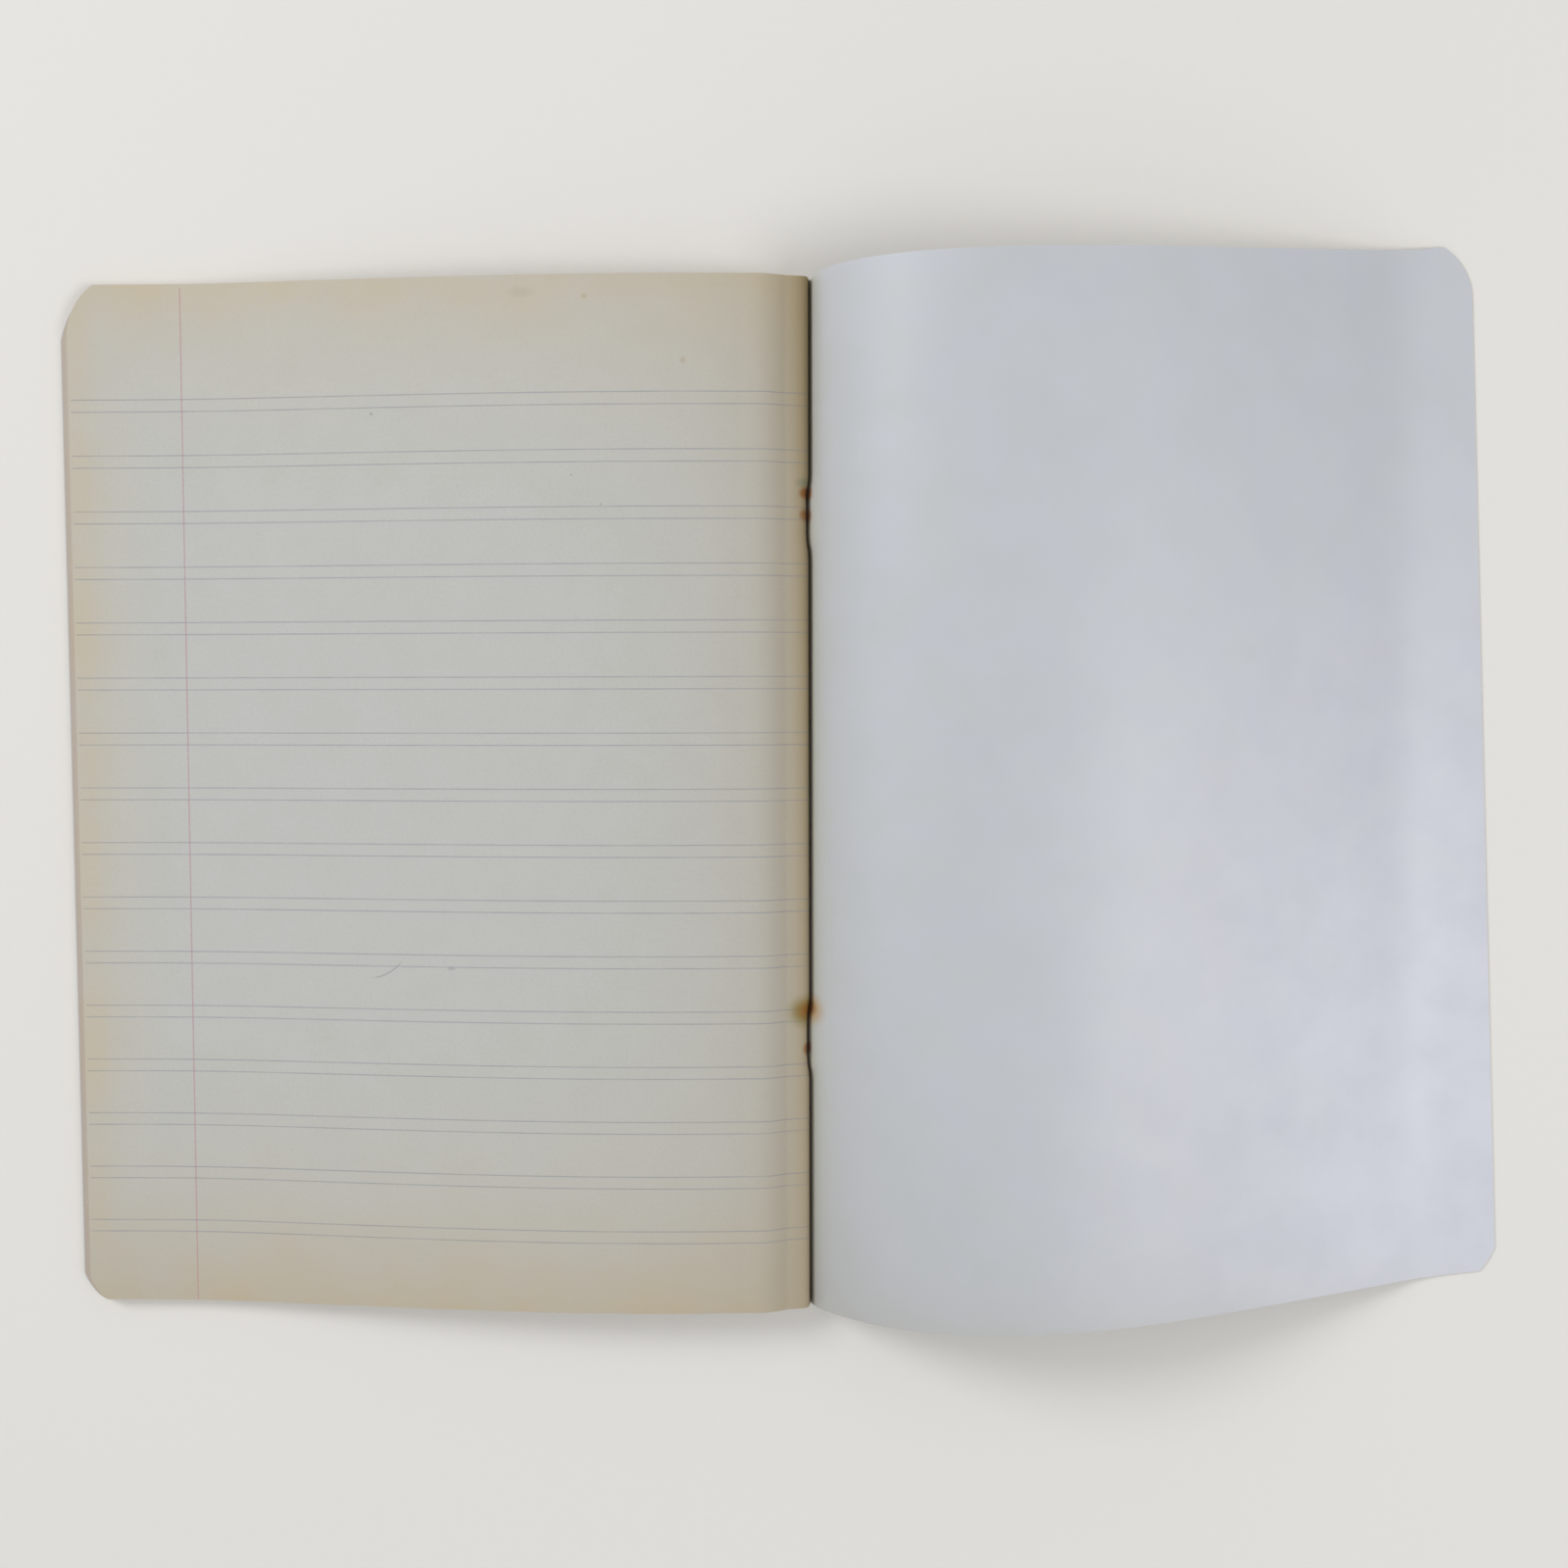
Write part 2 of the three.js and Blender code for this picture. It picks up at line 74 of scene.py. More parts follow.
# Corners cut off the fore edge: how far across, how far down, and the radius of the curve
TOP_CUT_ACROSS = 5.6 * MM
TOP_CUT_DOWN = 10.8 * MM
TOP_CUT_RADIUS = (TOP_CUT_ACROSS**2 + TOP_CUT_DOWN**2) / (2 * TOP_CUT_ACROSS)
LOWER_CUT_ACROSS = 6.9 * MM
LOWER_CUT_DOWN = 11.2 * MM
LOWER_CUT_RADIUS = 18 * MM
BOTTOM_CUT_ACROSS = 3.4 * MM
BOTTOM_CUT_DOWN = 5.0 * MM
BOTTOM_CUT_RADIUS = 13 * MM

# Fore edges of the lowest and the top leaf, in from the edge of the front cover, and how
# unevenly those between them lie
LOW_EDGE_INSET = 0.2 * MM
HIGH_EDGE_INSET = 2.3 * MM
EDGE_UNEVENNESS = 0.14 * MM
UNEVEN_PHASE = 2.1

# The fold: radii and gaps, and the headings at which the sheets leave it, in degrees
FOLD_INNER_RADIUS = 0.55 * MM
LEAF_CLEARANCE = 0.01 * MM
FOLD_TO_LEAF_GAP = 0.1 * MM
FOLD_TO_COVER_GAP = 0.2 * MM
GUTTER_OFFSET = 0.2 * MM
SPINE_LIFT_REACH = 30 * MM
ROOT_BLEND_REACH = 11 * MM
LOW_LEAF_HEADING = 184
HIGH_LEAF_HEADING = 150
COVER_START_ANGLE = -16
STAPLE_ANGLE = -55

# The last leaf stands up out of the fold and turns within a short reach to a nearly level
# stretch, which stands off the leaves below and then eases back to them
LAST_LEAF_HEADING = 97
LAST_LEAF_TURN_REACH = 1.2 * MM
LAST_LEAF_LEVEL = 3 * MM
LAST_LEAF_STAND = 3.1 * MM
LAST_LEAF_SLOPE = 0.2
LAST_LEAF_EASE = 0.15 * MM
SLOPE_STEP = 0.2 * MM

# Columns of the sheets: three zones out from the spine, each with its step, then how many
# stand in a fold, a turn and a cut corner, and how close columns may lie
COLUMN_ZONES = (12 * MM, 45 * MM)
COLUMN_STEPS = (0.25 * MM, 0.8 * MM, 1.8 * MM)
FOLD_COLUMNS = 20
FRONT_FOLD_COLUMNS = 12
BACK_FOLD_COLUMNS = 10
TURN_COLUMNS = 26
CORNER_COLUMNS = 20
END_COLUMN = 0.05 * MM
LEAST_COLUMN_GAP = 0.02 * MM
FRONT_COVER_SPARE = 1.1  # the line is drawn this much longer than the page, and cut off there

# Rows of the sheets: those under others need few, the curved ones many, and all have some
# more at the staples
LEAF_ROWS, FRONT_COVER_ROWS, CURVED_ROWS = 2, 24, 72
STAPLE_ROWS = 11
STAPLE_ROW_REACH = 2.5 * MM
LEAST_ROW_GAP = 0.003

# Swell of the leaves beside the spine: share of the page width, share of the swell
SWELL_SHAPE = np.array(
    [
        [0, 0.03, 0.06, 0.1, 0.15, 0.2, 0.3, 0.4, 0.5, 0.6, 0.7, 0.78, 0.86, 1],
        [0.36, 0.55, 0.71, 0.86, 0.96, 1, 0.98, 0.87, 0.7, 0.49, 0.26, 0.09, 0, 0],
    ]
).T

# Arch of the back cover: share of its width, heading at the top and at the bottom edge, then
# the number of steps in which an edge is added up, and how its end is brought to the table
ARCH_HEADINGS = np.array(
    [
        [0, 0.04, 0.09, 0.17, 0.27, 0.39, 0.52, 0.645, 0.775, 0.865, 0.93, 1],
        [74, 75, 53, 30, 11, -4, -16, -22, -26, -30, -13, -2],
        [74, 45, 38, 20, 2, -9, -16, -17, -15, -14, -2, -0.5],
    ]
).T
ARCH_STEPS = 310
ARCH_SETTLE = 0.12
ARCH_EASE_LIMIT = 30.0
ARCH_HALVINGS = 40
COVER_TABLE_GAP = 0.02 * MM
FORE_EDGE_DRIFT = 6.9 * MM
DRIFT_START = 0.26

# The back cover's bodies, from the spine out, and where the hinges between them cross it, as
# shares of its width. The cover is cut midway between hinges. For each length the span from just
# inside one cut to just inside the next is worked out, the last ending earlier, and handed to
# bend, which bends nothing along it.
BACK_COVER_PARTS = ("root", "rise", "crest", "outer")
BACK_COVER_BODIES = ["spine", *["back_cover_" + part for part in BACK_COVER_PARTS]]
BACK_COVER_HINGES = [0.02, 0.1, 0.235, 0.49]
OUTER_BEND_END = 0.66
BACK_BEND_INSET = 0.1 * MM
BACK_COVER_COLUMNS = 90
LEAST_BACK_COLUMNS = 30
BACK_END_COLUMN = 0.0004

# Where the other sheets' bend spans start and end, out from the spine over the leaves; they
# are handed to bend, which bends nothing along them
LEAF_BEND = (-0.6 * MM, 6 * MM)
FRONT_COVER_BEND = (-0.8 * MM, 3.2 * MM)

# The last leaf's lengths: name, bodies, start and end of the bend, node that it stands for
LAST_LEAF_CUTS = (3.5 * MM, 8.5 * MM)
LAST_LEAF_LENGTHS = (
    ("last_leaf_fold", "spine", "leaf_23", -1.8 * MM, 3.4 * MM, "last_leaf_root"),
    ("last_leaf_hinge", "leaf_23", "last_leaf_root", 3.6 * MM, 8.4 * MM, "last_leaf_root"),
    ("last_leaf_page", "last_leaf_root", "last_leaf", 8.7 * MM, 24 * MM, "last_leaf"),
)

# Staples: places of their middles and length of the crown
STAPLE_FROM_TOP = 48.7 * MM
STAPLE_FROM_BOTTOM = 57.2 * MM
CROWN_LENGTH = 12.5 * MM

# Pinch of a staple: how deep it is, over what length it fades along the fold, and where it
# starts to fade into the leaves, out over the cover and up it, each with the fade's length
PINCH_DEPTH = 0.5 * MM
PINCH_FADE = 4 * MM
PINCH_INWARD = (2.5 * MM, 4.2 * MM)
PINCH_OUTWARD = (3 * MM, 8 * MM)
PINCH_UPWARD = (0.5 * MM, 7 * MM)

# Print: where a line's ink starts and ends to fade, as shares of half its width. How far beyond
# the first and last pair lines are let through, how short of the fore edge they stop, and how
# far under the upper edge the margin line starts, in millimetres. The margin line's share of a
# line's width, and the share of the height by which it leans away from the fore edge.
INK_SOFTNESS = (0.6, 1.5)
LINE_SPARE = 1
LINE_END = 0.5
MARGIN_START = 0.9
MARGIN_BREADTH = 0.62
MARGIN_LEAN = 0.0036

# Patterns on the sheets, in patches a millimetre. Single fibres of paper and card are about
# 0.03 mm thick and scratches 0.1 mm wide, too fine to show, so both are drawn coarser.
PAPER_TUFTS = 1.4  # tufts of fibre, 0.7 mm
PAPER_CLOUDS = 0.11  # uneven pulp, 9 mm
PAPER_WAVES = 0.03  # cockles, 33 mm
PAPER_MOTTLE = 0.045  # uneven yellowing, 22 mm
INK_RUB = (0.12, 1.5, 1)  # rubbed places of the ink, 8 mm along a line and 0.7 mm across it
CARD_TUFTS = 1.1  # tufts of fibre, 0.9 mm
CARD_CLOUDS = 0.06  # uneven pulp, 17 mm
CARD_TINT = 0.09  # bluish and greyish places, 11 mm
CARD_WAVES = 0.035  # cockles, 29 mm
COATING_CLOUDS = 0.07  # soiled places, 14 mm
SCUFFS = 0.5  # scuffs, 2 mm
SCRATCHES = (0.03, 0.9, 1)  # scratches, 33 mm long and 1 mm wide
SCRATCH_TURN = 0.5

# Patterns on Object coordinates, in patches a metre
CUT_STREAKS = 300  # streaks of a guillotined edge, 3 mm long and one sheet thick
RUST_PATCHES = 900  # patches of rust on the wire, 1 mm
FLOOR_GRAIN = 400  # grain of the floor, 2.5 mm

# Marks of the last page, in millimetres: place along the sheet, place up from its middle,
# half the width, half the height, softness, strength, and colour unless it is plain rust
PAGE_MARKS = [
    (3.7, -44.2, 3.5, 2.8, 0.6, 0.75, "#7d742f"),
    (4.4, 65.6, 1.3, 0.9, 0.7, 0.45, "#6f7f6a"),
    (3.3, 63.5, 1.7, 1.15, 0.5, 0.85),
    (3.3, 59.0, 1.6, 1.15, 0.5, 0.75),
    (3.2, -44.0, 2.4, 1.7, 0.8, 0.8),
    (3.1, -52.2, 1.2, 1.2, 0.45, 0.75),
    (2.5, 63.3, 0.7, 1.1, 0.7, 0.6, "#3a2210"),
    (2.5, -44.0, 0.7, 1.1, 0.7, 0.6, "#3a2210"),
    (2.5, -52.4, 0.7, 1.1, 0.7, 0.6, "#3a2210"),
    (94.1, 80.0, 0.24, 0.24, 0.5, 0.5, "#6b6a5a"),
    (52.4, 67.0, 0.2, 0.2, 0.5, 0.4, "#77755f"),
    (46.4, 61.0, 0.2, 0.24, 0.5, 0.4, "#77755f"),
    (49.4, 103.0, 0.6, 0.45, 0.7, 0.32, "#a08a4e"),
    (29.4, 90.0, 0.5, 0.6, 0.7, 0.3, "#a08a4e"),
    (62.5, 104.0, 2.2, 0.9, 0.8, 0.16, "#8c7a60"),
    (78.7, -34.9, 0.8, 0.32, 0.7, 0.34, "#7c7c80"),
]
PENCIL_CENTRE = (96.8, -27.8)
PENCIL_RADIUS = 9.4
PENCIL_MIDDLE = (92.0, -35.9)
PENCIL_BREADTH = 0.28

# Marks of the back cover's inside: a rubbed line, rust by the staples, and painted highlights,
# white strips beside the staples
CARD_MARKS = [
    (3.0, 0, 0.35, 140, 0.6, 0.35, "#ddd0c8"),
    (2.7, 63.5, 1.7, 1.2, 0.6, 0.75, "#b5742f"),
    (2.7, 59.0, 1.5, 1.2, 0.6, 0.65, "#b5742f"),
    (2.9, -44.0, 3.9, 2.5, 0.7, 0.7, "#bd9140"),
    (2.5, -43.8, 2.0, 1.3, 0.7, 0.7, "#8a5220"),
    (2.4, -52.2, 0.8, 1.2, 0.5, 0.7, "#a2662a"),
    # Painted highlights: white strips beside the staples.
    (3.0, 54.8, 0.9, 2.4, 0.4, 0.8, "#ece6da"),
    (3.0, -55.5, 0.8, 2.0, 0.4, 0.7, "#ece6da"),
]

# The studio camera stands where the photograph was taken, over the gutter
CAMERA_PLACE = (1.7079 * MM, 24.8176 * MM, 372.0692 * MM)
CAMERA_TURN = (-0.058225, 0.019455, -0.002441)
CAMERA_LENS = 40.5
CAMERA_SENSOR = 36

# The floor and where it turns to white, the sky, and the two lamps with their places in metres
FLOOR_HALF = 3
FLOOR_DROP = 0.03 * MM
FLOOR_FADE = (0.35, 1.6)
SKY_STRENGTH = 0.54
LAMP_SIZE = 0.6
LAMPS = (
    ("soft_lamp_left", (-1.05, 0.75, 0.9), 10.2),
    ("soft_lamp_right", (0.95, -0.3, 1.05), 5.6),
)


def linear(colour):
    """Turns an sRGB hex colour into the linear red, green, blue and alpha that sockets take."""
    parts = np.array([int(colour[i : i + 2], 16) for i in (1, 3, 5)]) / 255
    low = parts / 12.92
    high = ((parts + 0.055) / 1.055) ** 2.4
    return (*np.where(parts <= 0.04045, low, high), 1.0)


def length(name, description, default):
    """One length that a user may change."""
    return FloatProperty(
        name=name, description=description, default=default, unit="LENGTH", precision=5
    )


def finish(name, description, default):
    """One colour that a user may change."""
    return FloatVectorProperty(
        name=name, description=description, default=linear(default), size=4, subtype="COLOR"
    )


class NotebookSizes(bpy.types.PropertyGroup):
    """Driving sizes of the sheets."""

    page_width: length("Page width", "From the line of the staples to the fore edge", 156.5 * MM)
    page_height: length("Page height", "Height of the leaves and of the cover", 215 * MM)
    paper: length("Paper thickness", "Thickness of one leaf", 0.09 * MM)
    card: length("Card thickness", "Thickness of the cover", 0.3 * MM)
    swell: length("Swell", "How high the top leaf rises beside the spine", 7.25 * MM)
    spine_lift: length("Spine lift", "How far the spine stands off the table", 1.0 * MM)
    sheets: IntProperty(name="Sheets", description="Folded sheets in the cover", default=12)


class NotebookRuling(bpy.types.PropertyGroup):
    """Printed lines of the leaves."""

    first_line: length("First line", "From the top edge to the first line", 23.75 * MM)
    pitch: length("Pitch", "From one pair of lines to the next", 11.587 * MM)
    pair_gap: length("Pair gap", "Between the two lines of a pair", 2.5 * MM)
    line_width: length("Line width", "Width of a printed line", 0.24 * MM)
    margin: length("Margin", "From the fore edge to the margin line", 23.2 * MM)
    pairs: IntProperty(name="Pairs", description="Pairs of lines on a page", default=16)


class NotebookColours(bpy.types.PropertyGroup):
    """Colours of the stock, the print and the age marks."""

    paper: finish("Paper", "Middle of a page, where light has not yellowed it", "#c2c3c0")
    paper_aged: finish("Aged paper", "Paper along its outer edges", "#c6b491")
    # The gutter colour is partly the paper's browning and partly painted shade by the fold.
    gutter: finish("Gutter", "Paper by the fold, where dust and rust have darkened it", "#a3916e")
    ruling: finish("Ruling", "Pale ink of the ruled lines", "#7c8290")
    margin_ink: finish("Margin", "Pale red ink of the margin line", "#b5808c")
    card_inside: finish("Card inside", "Uncoated side of the cover", "#bfc3c7")
    # Partly painted light: the card renders brighter, as well as cooler, towards the fore edge and
    # the foot.
    card_cool_and_lit: finish("Card inside, far corner", "Cooler tone towards the fore edge", "#cfd1dc")
    card_outside: finish("Card outside", "Coated side of the cover", "#c9c6bf")
    rust: finish("Rust", "Stain that the staples leave", "#8c561c")
    wire: finish("Wire", "Steel of the staples", "#8f8b86")
    floor: finish("Floor", "Plain studio floor", "#e6e4e0")


def smooth(t):
    """Rises from 0 to 1 as t squared times three less two t, and stays level outside."""
    c = np.clip(t, 0, 1)
    return c * c * (3 - 2 * c)


def through(points, x, column=1):
    """Smooth curve through points: cubic pieces with the slope of the neighbours at each point."""
    px, py = points[:, 0], points[:, column]
    last = len(px) - 1
    before = np.maximum(np.arange(last + 1) - 1, 0)
    after = np.minimum(np.arange(last + 1) + 1, last)
    slope = (py[after] - py[before]) / (px[after] - px[before])
    x = np.clip(x, px[0], px[-1])
    i = np.clip(np.searchsorted(px, x, side="right") - 1, 0, last - 1)
    span = px[i + 1] - px[i]
    t = (x - px[i]) / span
    rise = t * t * (3 - 2 * t)
    value = py[i] * (1 - rise) + py[i + 1] * rise
    return value + span * (t * (1 - t) ** 2 * slope[i] + t * t * (t - 1) * slope[i + 1])


def cut_depth(d, across, down, radius):
    """How far a corner's curve has come in from the page corner, at distance d from the fore edge.

    The curve is a circle through the two ends of the cut.
    """
    chord = math.hypot(across, down)
    rise = math.sqrt(radius**2 - chord**2 / 4)
    cx = across / 2 + rise * down / chord
    cy = down / 2 + rise * across / chord
    depth = cy - np.sqrt(np.maximum(0, radius**2 - (cx - d) ** 2))
    return np.where(d < across, depth, 0)


def top_cut(d):
    """The upper corner of the last leaf and of the back cover."""
    return cut_depth(d, TOP_CUT_ACROSS, TOP_CUT_DOWN, TOP_CUT_RADIUS)


def lower_top_cut(d):
    """The leaves under the last one and the front cover are cut a little deeper."""
    return cut_depth(d, LOWER_CUT_ACROSS, LOWER_CUT_DOWN, LOWER_CUT_RADIUS)


def bottom_cut(d):
    """The lower corner of every sheet."""
    return cut_depth(d, BOTTOM_CUT_ACROSS, BOTTOM_CUT_DOWN, BOTTOM_CUT_RADIUS)


def spine_of(book):
    """Radii of the fold and the place of its axis, from the sheets up to the cover."""
    pitch = book.paper + LEAF_CLEARANCE
    outer_fold = FOLD_INNER_RADIUS + pitch * (book.sheets - 1)
    cover_inner = outer_fold + book.paper / 2 + FOLD_TO_COVER_GAP
    return SimpleNamespace(
        pitch=pitch,
        leaf_start=outer_fold + book.paper / 2 + LEAF_CLEARANCE + FOLD_TO_LEAF_GAP,
        cover=cover_inner + book.card / 2,
        x=-(outer_fold + book.paper / 2 + GUTTER_OFFSET),
        z=book.spine_lift + cover_inner + book.card,
    )


def to_frame(book, points):
    """Moves points from the book's own zero, the gutter on the table, to the frame's."""
    spine = spine_of(book)
    return points + np.array([FOLD_AXIS[0] - spine.x, FOLD_AXIS[1], FOLD_AXIS[2] - spine.z])


def round_fold(book, angle, radius):
    """Point at an angle in degrees and a radius round the fold axis, as x and z."""
    spine = spine_of(book)
    a = np.radians(angle)
    return spine.x + radius * np.cos(a), spine.z + radius * np.sin(a)


def fold_radius(book, leaf):
    """Radius of the fold that a leaf runs into, the outermost sheet having the largest."""
    sheet = leaf if leaf <= book.sheets else 2 * book.sheets + 1 - leaf
    return FOLD_INNER_RADIUS + spine_of(book).pitch * (book.sheets - sheet)


def share_up(book, leaf):
    """Place of a leaf in the stack, from 0 for the lowest to 1 for the last."""
    return (leaf - 1) / (2 * book.sheets - 1)


def leaf_heading(book, leaf):
    """Direction in which a leaf leaves its fold: even steps from the lowest leaf to the last."""
    return LOW_LEAF_HEADING + (HIGH_LEAF_HEADING - LOW_LEAF_HEADING) * share_up(book, leaf)


def table_lift(book, x):
    """How far the stack is raised off the table beside the spine."""
    return book.spine_lift * (1 - smooth(-x / SPINE_LIFT_REACH))


def leaf_height(book, leaf, x):
    """Height of a leaf: straight out of its fold, then over to its place in the swollen stack."""
    spine = spine_of(book)
    heading = leaf_heading(book, leaf)
    side = 1 if leaf <= book.sheets else -1
    swing = math.degrees(math.asin(fold_radius(book, leaf) / spine.leaf_start))
    root_x, root_z = round_fold(book, heading + side * swing, spine.leaf_start)
    straight = root_z + math.tan(math.radians(180 - heading)) * (root_x - x)
    lowest = book.card + LEAF_CLEARANCE + book.paper / 2 + table_lift(book, x)
    swell = book.swell * through(SWELL_SHAPE, -x / book.page_width)
    resting = lowest + (leaf - 1) * spine.pitch + share_up(book, leaf) * swell
    w = smooth((spine.x - spine.leaf_start - x) / ROOT_BLEND_REACH)
    return (1 - w) * straight + w * resting


def last_leaf_height(book, x):
    """Height of the last leaf: its place in the stack, raised beside the spine to a nearly level
    stretch where it stands off the leaf below. The step between the two is eased.
    """
    spine = spine_of(book)
    resting = leaf_height(book, 2 * book.sheets, x)
    short = spine.z + LAST_LEAF_STAND + LAST_LEAF_SLOPE * (spine.x - x) - resting
    near = 1 - smooth((spine.x - LAST_LEAF_LEVEL - x) / LAST_LEAF_LEVEL)
    return resting + near * (short + np.hypot(short, LAST_LEAF_EASE)) / 2


def last_leaf_turn(book, start_x, start_z):
    """The last leaf's way from its fold over to its level stretch: a cubic curve whose two inner
    points lie where the line up from the fold meets the line back from that stretch.
    """
    end_x = spine_of(book).x - LAST_LEAF_TURN_REACH
    end_z = last_leaf_height(book, end_x)
    slope = (end_z - last_leaf_height(book, end_x - SLOPE_STEP)) / SLOPE_STEP
    rise = math.tan(math.radians(LAST_LEAF_HEADING))
    corner_x = (end_z - start_z + rise * start_x - slope * end_x) / (rise - slope)
    corner_z = start_z + rise * (corner_x - start_x)
    t = np.linspace(0, 1, TURN_COLUMNS)
    first, inner, last = (1 - t) ** 3, 3 * t * (1 - t), t**3
    x = first * start_x + inner * corner_x + last * end_x
    return x, first * start_z + inner * corner_z + last * end_z


def front_cover_height(book, x):
    """Height of the front cover's middle surface: out of its fold and down to the table."""
    spine = spine_of(book)
    root_x, root_z = round_fold(book, LOW_LEAF_HEADING + 90, spine.cover)
    straight = root_z + math.tan(math.radians(180 - LOW_LEAF_HEADING)) * (root_x - x)
    w = smooth((spine.x - spine.leaf_start - x) / ROOT_BLEND_REACH)
    return (1 - w) * straight + w * (book.card / 2 + table_lift(book, x))


def measured(x, z):
    """Distance along a line of points, from its first point."""
    return np.concatenate([[0], np.cumsum(np.hypot(np.diff(x), np.diff(z)))])


def fine_steps(start, end):
    """Places from start leftwards to end, close together near the spine and wider beyond."""
    reach = start - end
    zones = [0, *COLUMN_ZONES, reach]
    steps = [np.arange(*zone) for zone in zip(zones, zones[1:], COLUMN_STEPS)]
    d = np.concatenate([*steps, [reach]])
    return start - d[d <= reach]


def front_cover_line(book):
    """Middle line of the front cover from the staples round the fold to the fore edge."""
    spine = spine_of(book)
    arc = np.linspace(STAPLE_ANGLE, LOW_LEAF_HEADING - 270, FRONT_FOLD_COLUMNS)
    arc_x, arc_z = round_fold(book, arc, spine.cover)
    xs = fine_steps(arc_x[-1], arc_x[-1] - FRONT_COVER_SPARE * book.page_width)[1:]
    x = np.concatenate([arc_x, xs])
    z = np.concatenate([arc_z, front_cover_height(book, xs)])
    return x, z, measured(x, z)


def front_edge(book):
    """Place of the front cover's fore edge."""
    x, _, s = front_cover_line(book)
    return float(np.interp(book.page_width, s, x))


def leaf_line(book, leaf):
    """Middle line of a leaf, from the middle of its fold to its fore edge."""
    count = 2 * book.sheets
    lower = min(leaf, count + 1 - leaf)
    upper = count + 1 - lower
    low_end = leaf_heading(book, lower) + 90
    high_end = (LAST_LEAF_HEADING if upper == count else leaf_heading(book, upper)) - 90 + 360
    end_angle = low_end if leaf == lower else high_end
    arc = np.linspace((low_end + high_end) / 2, end_angle, FOLD_COLUMNS)
    way = [round_fold(book, arc, fold_radius(book, leaf))]
    share = share_up(book, leaf)
    uneven = EDGE_UNEVENNESS * math.sin(UNEVEN_PHASE * leaf) * math.sin(math.pi * share)
    end = front_edge(book) + LOW_EDGE_INSET + (HIGH_EDGE_INSET - LOW_EDGE_INSET) * share + uneven
    if leaf == count:
        turn = last_leaf_turn(book, way[0][0][-1], way[0][1][-1])
        way.append([values[1:] for values in turn])
    xs = fine_steps(way[-1][0][-1], end)[1:]
    way.append((xs, last_leaf_height(book, xs) if leaf == count else leaf_height(book, leaf, xs)))
    x, z = (np.concatenate(parts) for parts in zip(*way))
    return x, z, measured(x, z)


def staple_middles(book):
    """Heights of the two staples' middles, from the middle of the page."""
    half = book.page_height / 2
    return np.array([half - STAPLE_FROM_TOP, -half + STAPLE_FROM_BOTTOM])


def rows_up(book, fine):
    """Shares of the page height at which a sheet has a row: even ones, and more at the staples."""
    reach = CROWN_LENGTH / 2 + STAPLE_ROW_REACH
    around = np.linspace(-reach, reach, STAPLE_ROWS)
    near = (staple_middles(book)[:, None] + around).ravel() / book.page_height + 0.5
    rows = np.unique(np.round(np.concatenate([[0, 1], near, np.linspace(0, 1, fine)]), 5))
    return rows[np.concatenate([[True], np.diff(rows) > LEAST_ROW_GAP])]


def pulled(book, points):
    """Draws the fold in towards the leaves where a staple holds it, and fades out up the cover."""
    spine = spine_of(book)
    x, y, z = points[..., 0], points[..., 1], points[..., 2]
    crown = CROWN_LENGTH / 2 + PINCH_FADE / 2
    hold = sum(smooth((crown - np.abs(y - m)) / PINCH_FADE) for m in staple_middles(book))
    starts, fades = zip(PINCH_INWARD, PINCH_OUTWARD, PINCH_UPWARD)
    near = smooth((x - spine.x + starts[0]) / fades[0])
    near = near * (1 - smooth((x - spine.x - starts[1]) / fades[1]))
    near = near * (1 - smooth((z - spine.z - starts[2]) / fades[2]))
    moved = points.copy()
    moved[..., 0] = x - PINCH_DEPTH * hold * near
    return moved


def sheet_grid(book, x, z, s, rows, width, upper_cut):
    """Middle surface and normals of a sheet that runs left from the spine.

    A column stands at each place of the line x, z. It reaches from the lower to the upper
    outline, which come in at the cut corners by their distance from the fore edge.
    """
    d = width - s
    half = book.page_height / 2
    low = -half + bottom_cut(d)
    high = half - upper_cut(d)
    y = low[:, None] + (high - low)[:, None] * rows[None, :]
    tx, tz = np.gradient(x, s), np.gradient(z, s)
    size = np.hypot(tx, tz)
    points = np.stack(np.broadcast_arrays(x[:, None], y, z[:, None]), -1)
    normals = np.stack(np.broadcast_arrays((tz / size)[:, None], 0 * y, (-tx / size)[:, None]), -1)
    return points, normals


def corner_steps(width):
    """Distances from the spine at which the cut corners need a column."""
    t = np.linspace(0, 1, CORNER_COLUMNS)
    return width - LOWER_CUT_ACROSS * (1 - t) ** 2


def with_columns(x, z, s, extra, low, high):
    """Adds columns to a line and keeps the stretch from low to high, with its ends exact."""
    near_ends = [low, low + END_COLUMN, high - END_COLUMN, high]
    places = np.concatenate([s, extra, near_ends])
    places = np.unique(np.round(places[(places >= low) & (places <= high)], 8))
    keep = np.concatenate([[True], np.diff(places) > LEAST_COLUMN_GAP])
    keep[-1] = True
    places = places[keep]
    return np.interp(places, s, x), np.interp(places, s, z), places


